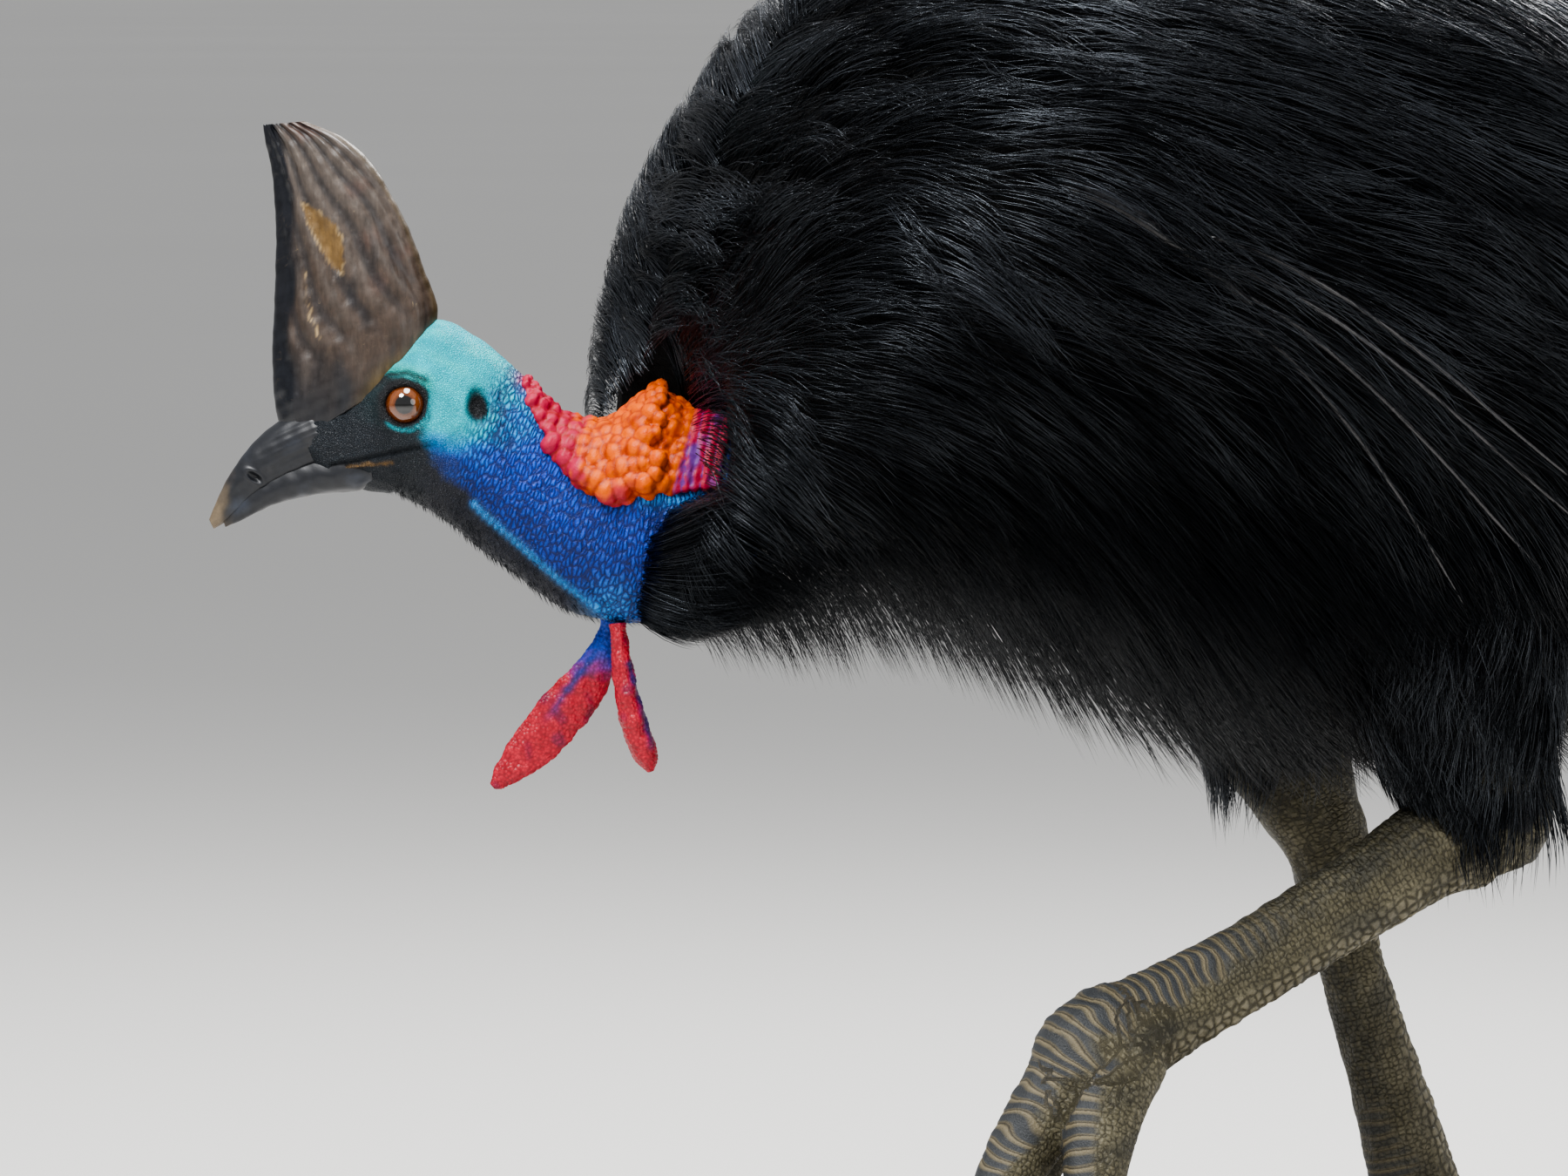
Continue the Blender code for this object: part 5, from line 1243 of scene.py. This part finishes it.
chance = np.random.default_rng(FEATHER_SEED)
roots, turns = scattered(
    BODY_ROWS, BODY_AXES, FEATHER_COUNT,
    lambda p, a: (np.interp(p, FEATHER_ROWS[:, 0], FEATHER_ROWS[:, 4])
                  * (1 - 0.35 * smooth(2.4, 3.0, np.abs(a)))
                  * (1 + 1.8 * bell(a, 0.16)) * np.maximum(smooth(0.75, 1.0, p), np.abs(a) > 1.5)),
    chance)[:2]
spot = on_body(roots, turns)[0]
length, pull_down, width = (np.interp(roots, FEATHER_ROWS[:, 0], FEATHER_ROWS[:, k])
                            for k in (1, 2, 3))
length *= chance.uniform(0.75, 1.2, len(roots))
sign = np.where(turns < 0, -1.0, 1.0)
turned = np.abs(turns)
share = np.array(STATIONS)[None]
clump_run, clump_round = roots * ROW_GAP / CLUMP[0], turned * MEAN_GIRTH / CLUMP[1]
cell = np.stack([np.floor(clump_run), np.floor(clump_round), sign], 1)
jitter = np.sin(cell @ (12.9, 78.2, 37.7)) * 43758.5453 % 1
middle_run = (cell[:, 0] + 0.2 + 0.6 * jitter) * CLUMP[0] / ROW_GAP
middle_round = (cell[:, 1] + 0.2 + 0.6 * (jitter * 7.3 % 1)) * CLUMP[1] / MEAN_GIRTH
sway = 0.20 * waves(spot, 0.13, 81) + 0.13 * waves(spot, 0.04, 82) + 0.5 * (jitter - 0.5) * 0.4
sway += chance.normal(0, 0.05, len(roots))
last = len(BODY_ROWS) - 1.02
turned = turned - 0.10 * bell(turned, 0.14)
places, angles, spare = [roots], [turned], [np.zeros(len(roots))]
for before, after in zip(STATIONS, STATIONS[1:]):
    p, a = places[-1], angles[-1]
    here = on_body(p, a * sign)[0]
    run_way = (on_body(p - 0.02, a * sign)[0] - here) / -0.02 / MM
    round_way = (on_body(p, (a + 0.02) * sign)[0] - here) / 0.02 / MM
    fall = pull_down + 0.5 * smooth(1.5, 2.4, a) + 0.35 * before * pull_down + sway * (1 + before)
    parted = 0.75 * bell(a, 0.55) + 0.12
    way = np.stack([np.ones(len(p)), parted * sign, -fall], 1)
    normal = unit(np.cross(run_way, round_way))
    way = unit(way - normal * dots(way, normal)[:, None]) * (length * (after - before))[:, None]
    aa, bb, ab = dots(run_way, run_way), dots(round_way, round_way), dots(run_way, round_way)
    wa, wb = dots(way, run_way), dots(way, round_way)
    det = np.maximum(aa * bb - ab ** 2, 1.0)
    run_step = np.clip((wa * bb - wb * ab) / det, -2.5, 2.5)
    round_step = np.clip((wb * aa - wa * ab) / det, -0.6, 0.6)
    pull = CLUMP_PULL * (after ** 1.5 - before ** 1.5)
    reach = p + run_step + (middle_run - roots) * pull
    places.append(np.clip(reach, 0, last))
    spare.append(spare[-1] + np.maximum(reach - last, 0) * 40)
    angles.append(np.clip(a + round_step + (middle_round - turned) * pull, -0.05, math.pi - 0.01))
places, angles, spare = (np.stack(each, 1) for each in (places, angles, spare))
ruffle = 2.0 * waves(spot, 0.05, 83) + 3.5 * (jitter - 0.5) + chance.normal(0, 1.0, len(roots))
rise = ROOT_DEPTH + (TIP_LIFT - ROOT_DEPTH) * (1 - (1 - share) ** 2.4)
grow = rise * (1 - 0.55 * bell(turned, 0.2))[:, None] + ruffle[:, None] * share - 0.5
path = on_body(places, angles * sign[:, None], grow)[0]
path[..., 0] += np.minimum(spare, 30) * 0.5 * MM
path[..., 2] -= spare * 0.9 * MM
hang = (BELLY_HANG * smooth(1.75, 2.7, turned) * smooth(0.2, 2.0, roots)
        * chance.uniform(0.6, 1.15, len(roots)))
hang += 8 * smooth(0.9, 1.9, turned) + 22 * smooth(9.5, 12, roots)
path[..., 2] -= hang[:, None] * share ** 1.8 * MM
patches = np.stack([0.01 + 0.68 * roots / (len(BODY_ROWS) - 1), 0.5 + 0.49 * turns / math.pi], 1)
# Each strand's tint: high ones are grey, painted highlight streaks, and glossier; it is lowered
# under the belly, where the strands are blacker and less glossy.
tints = np.clip(0.5 + 0.22 * waves(spot, 0.06, 84) + chance.normal(0, 0.2, len(roots)), 0, 1)
tints *= 1 - 0.75 * smooth(1.5, 2.2, turned)
look, tree, shader, place = nodes_of("black_plumage", FEATHER_BLACK, 0.34, Specular_IOR_Level=0.6,
                                     Specular_Tint=(0.82, 0.9, 1.0, 1.0))
tint = painted(tree, "tint")
down = painted(tree, "down")
patchy = noise(tree, place, 7.0, 4.0)
barbs = noise(tree, place, 1500.0, 2.0)
# Painted highlight: the strands with a high tint are grey.
tone = ramp(tree, tint, (0.2, FEATHER_BLACK), (0.72, (0.011, 0.012, 0.015)), (0.97, FEATHER_HIGHLIGHT_GREY))
worn_tips = maths(tree, "MULTIPLY", down, patchy)
worn_tips = ranged(tree, worn_tips, From_Min=0.42, From_Max=0.68, To_Max=0.35)
tone = mixed(tree, worn_tips, tone, FEATHER_BROWN)
dressed(tree, shader, tone, (barbs, 0.3, 0.0003), (barbs, 0.18, 0.40))
sheen = ranged(tree, tint, From_Min=0.15, From_Max=0.72, To_Min=0.12, To_Max=1.0)
tree.links.new(sheen, shader.inputs["Specular IOR Level"])


def off_folds(path):
    """Which strands stay clear of the folds on the sides of the neck's end."""
    ahead, height, aside = drawn(HEAD_AXES, path)
    far, turn = off_neck(height, aside)
    over = (ahead > -194) & (ahead < -150) & (turn > 22) & (turn < 80) & (far < 2.0)
    return ~over.any(axis=1)


order = np.lexsort((roots, sign))
order = order[off_folds(path)[order]]
groups = [part for half in (-1.0, 1.0) for part in np.array_split(order[sign[order] == half], 4)]
for index, group in enumerate(groups):
    side = "left" if index < 4 else "right"
    coat = strands(f"feathers_{side}_{index % 4 + 1}", path[group], width[group], tints[group],
                   patches[group])
    coat.data.materials.append(look)
    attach(coat, "root")
    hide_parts("torso", "rump")

# The collar: feathers rooted round the end of the bare neck, from the sides of the
# caruncles to the throat, which sweep back over the front of the body.
COLLAR_COUNT, COLLAR_SEED, COLLAR_WIDTH, COLLAR_LENGTH = 8000, 18, 0.95, (46, 88)
COLLAR_LINE = [(0, 17.6), (22, 18.3), (50, 18.8), (66, 18.8), (78, 18.4), (90, 17.4), (104, 17.0),
               (125, 16.9), (150, 16.9), (180, 17.0)]
chance = np.random.default_rng(COLLAR_SEED)
sign = np.where(np.arange(COLLAR_COUNT) % 2, 1.0, -1.0)
turned = np.radians(chance.uniform(0, 180, COLLAR_COUNT))
back = chance.uniform(0, 1, COLLAR_COUNT) ** 1.3
roots = (np.interp(np.degrees(turned), *zip(*COLLAR_LINE)) + back * 1.6
         + chance.normal(0, 0.05, COLLAR_COUNT))
start, out = on_head(np.minimum(roots, 18.95), -turned * sign, -2.0)
reach = 0.9 + 1.0 * chance.uniform(0.35, 1.0, COLLAR_COUNT) + 0.8 * back
body_turn = turned + 0.16 * waves(start, 0.03, 85) + chance.normal(0, 0.04, COLLAR_COUNT)
goal = on_body(reach, body_turn * sign, 3.0 + 2.5 * waves(start, 0.02, 86))[0]
way = goal - start
span = np.linalg.norm(way, axis=1)
limit = chance.uniform(*COLLAR_LENGTH, COLLAR_COUNT) * MM
way *= np.minimum(1, limit / span)[:, None]
t = share[..., None]
bulge = np.minimum(span, limit)[:, None, None] * 0.30 * t * (1 - t) * 2
path = start[:, None] + way[:, None] * t + out[:, None] * bulge
path[..., 2] -= 0.010 * share ** 2 * smooth(1.7, 2.9, turned)[:, None]
# Painted highlight: as on the body, strands with a high tint are grey.
tints = np.clip(0.5 + 0.2 * waves(start, 0.04, 87) + chance.normal(0, 0.2, COLLAR_COUNT), 0, 1)
patches = np.stack([0.9 + 0.015 * back, 0.5 + 0.49 * turned * sign / math.pi], 1)
clear = off_folds(path)
collar = strands("feathers_collar", path[clear], np.full(clear.sum(), COLLAR_WIDTH), tints[clear],
                 patches[clear])
collar.data.materials.append(look)
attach(collar, "root")
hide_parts("torso")

# The feathers of the thighs: the same loose hair-like feathers, but shorter. They are
# rooted all round each thigh and hang down past its end, over the top of the bare shank.
THIGH_COUNT, THIGH_DEPTH, THIGH_RISE, THIGH_WIDTH = 4200, -6, 17.0, 1.25
THIGH_SEEDS, PAST_HOCK = {"left": 91, "right": 92}, (0.012, 0.0, -0.055)
for name, rows_of in LEGS.items():
    rows = np.array(rows_of["thigh"], float)
    chance = np.random.default_rng(THIGH_SEEDS[name])
    roots = chance.uniform(0.05, 2.95, THIGH_COUNT)
    turns = chance.uniform(-math.pi, math.pi, THIGH_COUNT)
    size = chance.uniform(0.7, 1.15, THIGH_COUNT)
    spot = on_limb(rows, roots, turns, FORWARD)[0]
    wander = 0.35 * waves(spot, 0.05, 93) + chance.normal(0, 0.12, THIGH_COUNT)
    places = roots[:, None] + 0.85 * size[:, None] * share
    angles = turns[:, None] + (0.35 * np.sin(turns) * -1 + wander)[:, None] * share
    grow = (THIGH_DEPTH + THIGH_RISE * (1 - (1 - share) ** 2.2)
            + chance.normal(0, 1.5, (THIGH_COUNT, 1)) * share)
    path = on_limb(rows, np.minimum(places, 3.0), angles, FORWARD, grow)[0]
    over = np.maximum(places - 3.0, 0)
    path += over[..., None] * np.array(PAST_HOCK)
    path[..., 2] -= 0.012 * share ** 2
    patches = np.stack([0.71 + 0.09 * roots / 3 + (0.1 if name == "right" else 0),
                        0.5 + 0.49 * turns / math.pi], 1)
    # Painted highlight: as on the body, strands with a high tint are grey.
    tints = np.clip(0.45 + 0.22 * waves(spot, 0.05, 94) + chance.normal(0, 0.2, THIGH_COUNT), 0, 1)
    coat = strands("thigh_feathers_" + name, path, THIGH_WIDTH * np.ones(THIGH_COUNT), tints,
                   patches)
    coat.data.materials.append(look)
    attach(coat, "root")
    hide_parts("thigh_" + name)

# The bristles: short stiff black hairs, thin on the face and thicker under the throat,
# at the ears and along the nape.
BRISTLES, BRISTLE_SEED, BRISTLE_WIDTH = 2600, 95, 0.42
chance = np.random.default_rng(BRISTLE_SEED)


def bristle_share(places, angles):
    ahead, height = drawn(HEAD_AXES, on_head(places, angles)[0])[:2]
    throat = smooth(2.1, 2.9, np.abs(angles))
    ear = bell(np.hypot(ahead - EAR_PLACE[0], height - EAR_PLACE[1]) - 7, 3.5)
    cheek = inside(BLACK_FACE, ahead, height, 3.0)
    clear = smooth(17, 21, np.hypot(ahead, height))
    return (throat + 1.2 * ear + 0.22 * cheek + 0.02) * clear * (places > 5.4) * (places < 17.5)


roots, turns, stretch, girth = scattered(HEAD_ROWS, HEAD_AXES, BRISTLES, bristle_share, chance)
length = chance.uniform(3.5, 9.0, BRISTLES) * (0.55 + 0.45 * smooth(2.0, 2.8, np.abs(turns)))
step = length[:, None] * np.array((0, 0.35, 0.7, 1.0))[None]
lean = chance.normal(0, 0.35, BRISTLES)[:, None]
places = roots[:, None] + step * np.cos(lean) / np.maximum(stretch, 8)[:, None] * 0.8
angles = turns[:, None] + step * np.sin(lean) / np.maximum(girth, 8)[:, None]
grow = -1.5 + 0.62 * step
path = on_head(places, angles, grow)[0]
patches = np.stack([0.92 + 0.07 * roots / len(HEAD_ROWS), 0.5 + 0.49 * turns / math.pi], 1)
bristles = strands("bristles", path, BRISTLE_WIDTH * np.ones(BRISTLES), np.full(BRISTLES, 0.3),
                   patches)
bristles.data.materials.append(look)
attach(bristles, "root")
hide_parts("head", "neck")

# The wings: tiny and hidden in the coat but for a few bare quills, thick black shafts
# like polished rods that curve back along the flank.
WING_ARM = np.array([(4.4, 70, -8, 9, 6), (4.7, 77, -4, 12, 8), (5.1, 86, -2, 11, 7),
                     (5.5, 94, -1, 6, 4)], float)
WING_QUILLS = [(5.3, 84, 7.5, 112), (5.35, 88, 7.7, 120), (5.4, 92, 7.5, 127), (5.4, 96, 7.1, 134)]
QUILL_RADIUS, QUILL_RISE, QUILL_STEPS, QUILL_SIDES = 2.4, 3.2, 40, 14
ARM_STEPS, ARM_SIDES = 10, 24
look, tree, shader, place = nodes_of("quill_horn", (0.012, 0.012, 0.014), 0.2,
                                     Specular_IOR_Level=0.6)
fibre = noise(tree, place, 300.0, 5.0)
tone = ramp(tree, fibre, (0.35, (0.008, 0.008, 0.010)), (0.75, (0.035, 0.033, 0.034)))
dressed(tree, shader, tone, (fibre, 0.2, 0.0003), (fibre, 0.12, 0.35))
for name, sign in (("left", -1), ("right", 1)):
    arm, out = on_body(WING_ARM[:, 0], sign * np.radians(WING_ARM[:, 1]), WING_ARM[:, 2] - 14)
    limb = np.hstack([(arm - SHIFT) / MM, WING_ARM[:, 3:5]])
    parts = [limb_shell("wing_arm_" + name, limb, UP, ARM_STEPS, ARM_SIDES)]
    for place_a, angle_a, place_b, angle_b in WING_QUILLS:
        way = np.linspace(0, 1, QUILL_STEPS)
        middle, out = on_body(place_a + (place_b - place_a) * way,
                              sign * np.radians(angle_a + (angle_b - angle_a) * way ** 1.2),
                              QUILL_RISE + 1.5 * np.sin(math.pi * way) - 20 * (1 - way) ** 1.6)
        girths = QUILL_RADIUS * (1 - 0.62 * way)
        limb = np.column_stack([(middle - SHIFT) / MM, girths, girths])
        parts.append(limb_shell("quill", limb, UP, 1, QUILL_SIDES))
    wing = joined(parts)
    bpy.ops.object.shade_smooth()
    wing.data.materials.append(look)
    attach(wing, "root")
    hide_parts("wing_" + name)

# The floor and the light: a plain pale floor in a studio, a large soft light from the
# front and above, one straight above, one from behind and a low one that lifts the shadows.
FLOOR_SIZE, FLOOR_TONE = 260.0, (0.62, 0.61, 0.59)
bpy.ops.mesh.primitive_plane_add(size=FLOOR_SIZE, location=(0, 0, 0))
floor = bpy.context.object
floor.name = "studio_floor"
look, tree, shader, place = nodes_of("pale_floor", FLOOR_TONE, 0.8)
cloud = noise(tree, place, 0.25, 2.0)
tone = ramp(tree, cloud, (0.3, (0.63, 0.62, 0.60)), (0.7, (0.65, 0.64, 0.62)))
dressed(tree, shader, tone)
floor.data.materials.append(look)
world = bpy.data.worlds.new("studio")
bpy.context.scene.world = world
world.use_nodes = True
world.node_tree.nodes["Background"].inputs["Color"].default_value = (0.86, 0.87, 0.89, 1.0)
world.node_tree.nodes["Background"].inputs["Strength"].default_value = 0.62
CAMERA_TARGET = SHIFT + (-0.30, 0.0, 0.543)
CAMERA_TURN, CAMERA_TILT, CAMERA_FAR, CAMERA_LENS = math.radians(-25), math.radians(4), 6.0, 226.4
LIGHTS = {"key": (-58, 50, 3.2, 1.2, 150), "back": (125, 42, 3.4, 1.4, 120),
          "fill": (22, 14, 4.0, 2.4, 34), "top": (-6, 78, 3.4, 1.4, 110)}


def away(turn, tilt, far):
    """A place that far from the middle of the bird, seen at these angles."""
    level = math.cos(tilt)
    return CAMERA_TARGET + far * np.array((math.sin(turn) * level, -math.cos(turn) * level,
                                           math.sin(tilt)))


def aimed(item, spot):
    item.location = spot
    item.rotation_mode = "QUATERNION"
    way = bpy.context.scene.cursor.location.copy()
    way[:] = CAMERA_TARGET - spot
    item.rotation_quaternion = way.to_track_quat("-Z", "Y")


for name, (turn, tilt, far, size, power) in LIGHTS.items():
    lamp = bpy.data.lights.new(name, "AREA")
    lamp.shape, lamp.size, lamp.energy = "DISK", size, power
    aimed(linked("light_" + name, lamp), away(math.radians(turn), math.radians(tilt), far))
lens = bpy.data.cameras.new("camera")
lens.lens, lens.sensor_width, lens.clip_end = CAMERA_LENS, 36.0, 400.0
camera = linked("camera", lens)
aimed(camera, away(CAMERA_TURN, CAMERA_TILT, CAMERA_FAR))
bpy.context.scene.camera = camera
bpy.context.scene.view_settings.look = "AgX - Medium High Contrast"
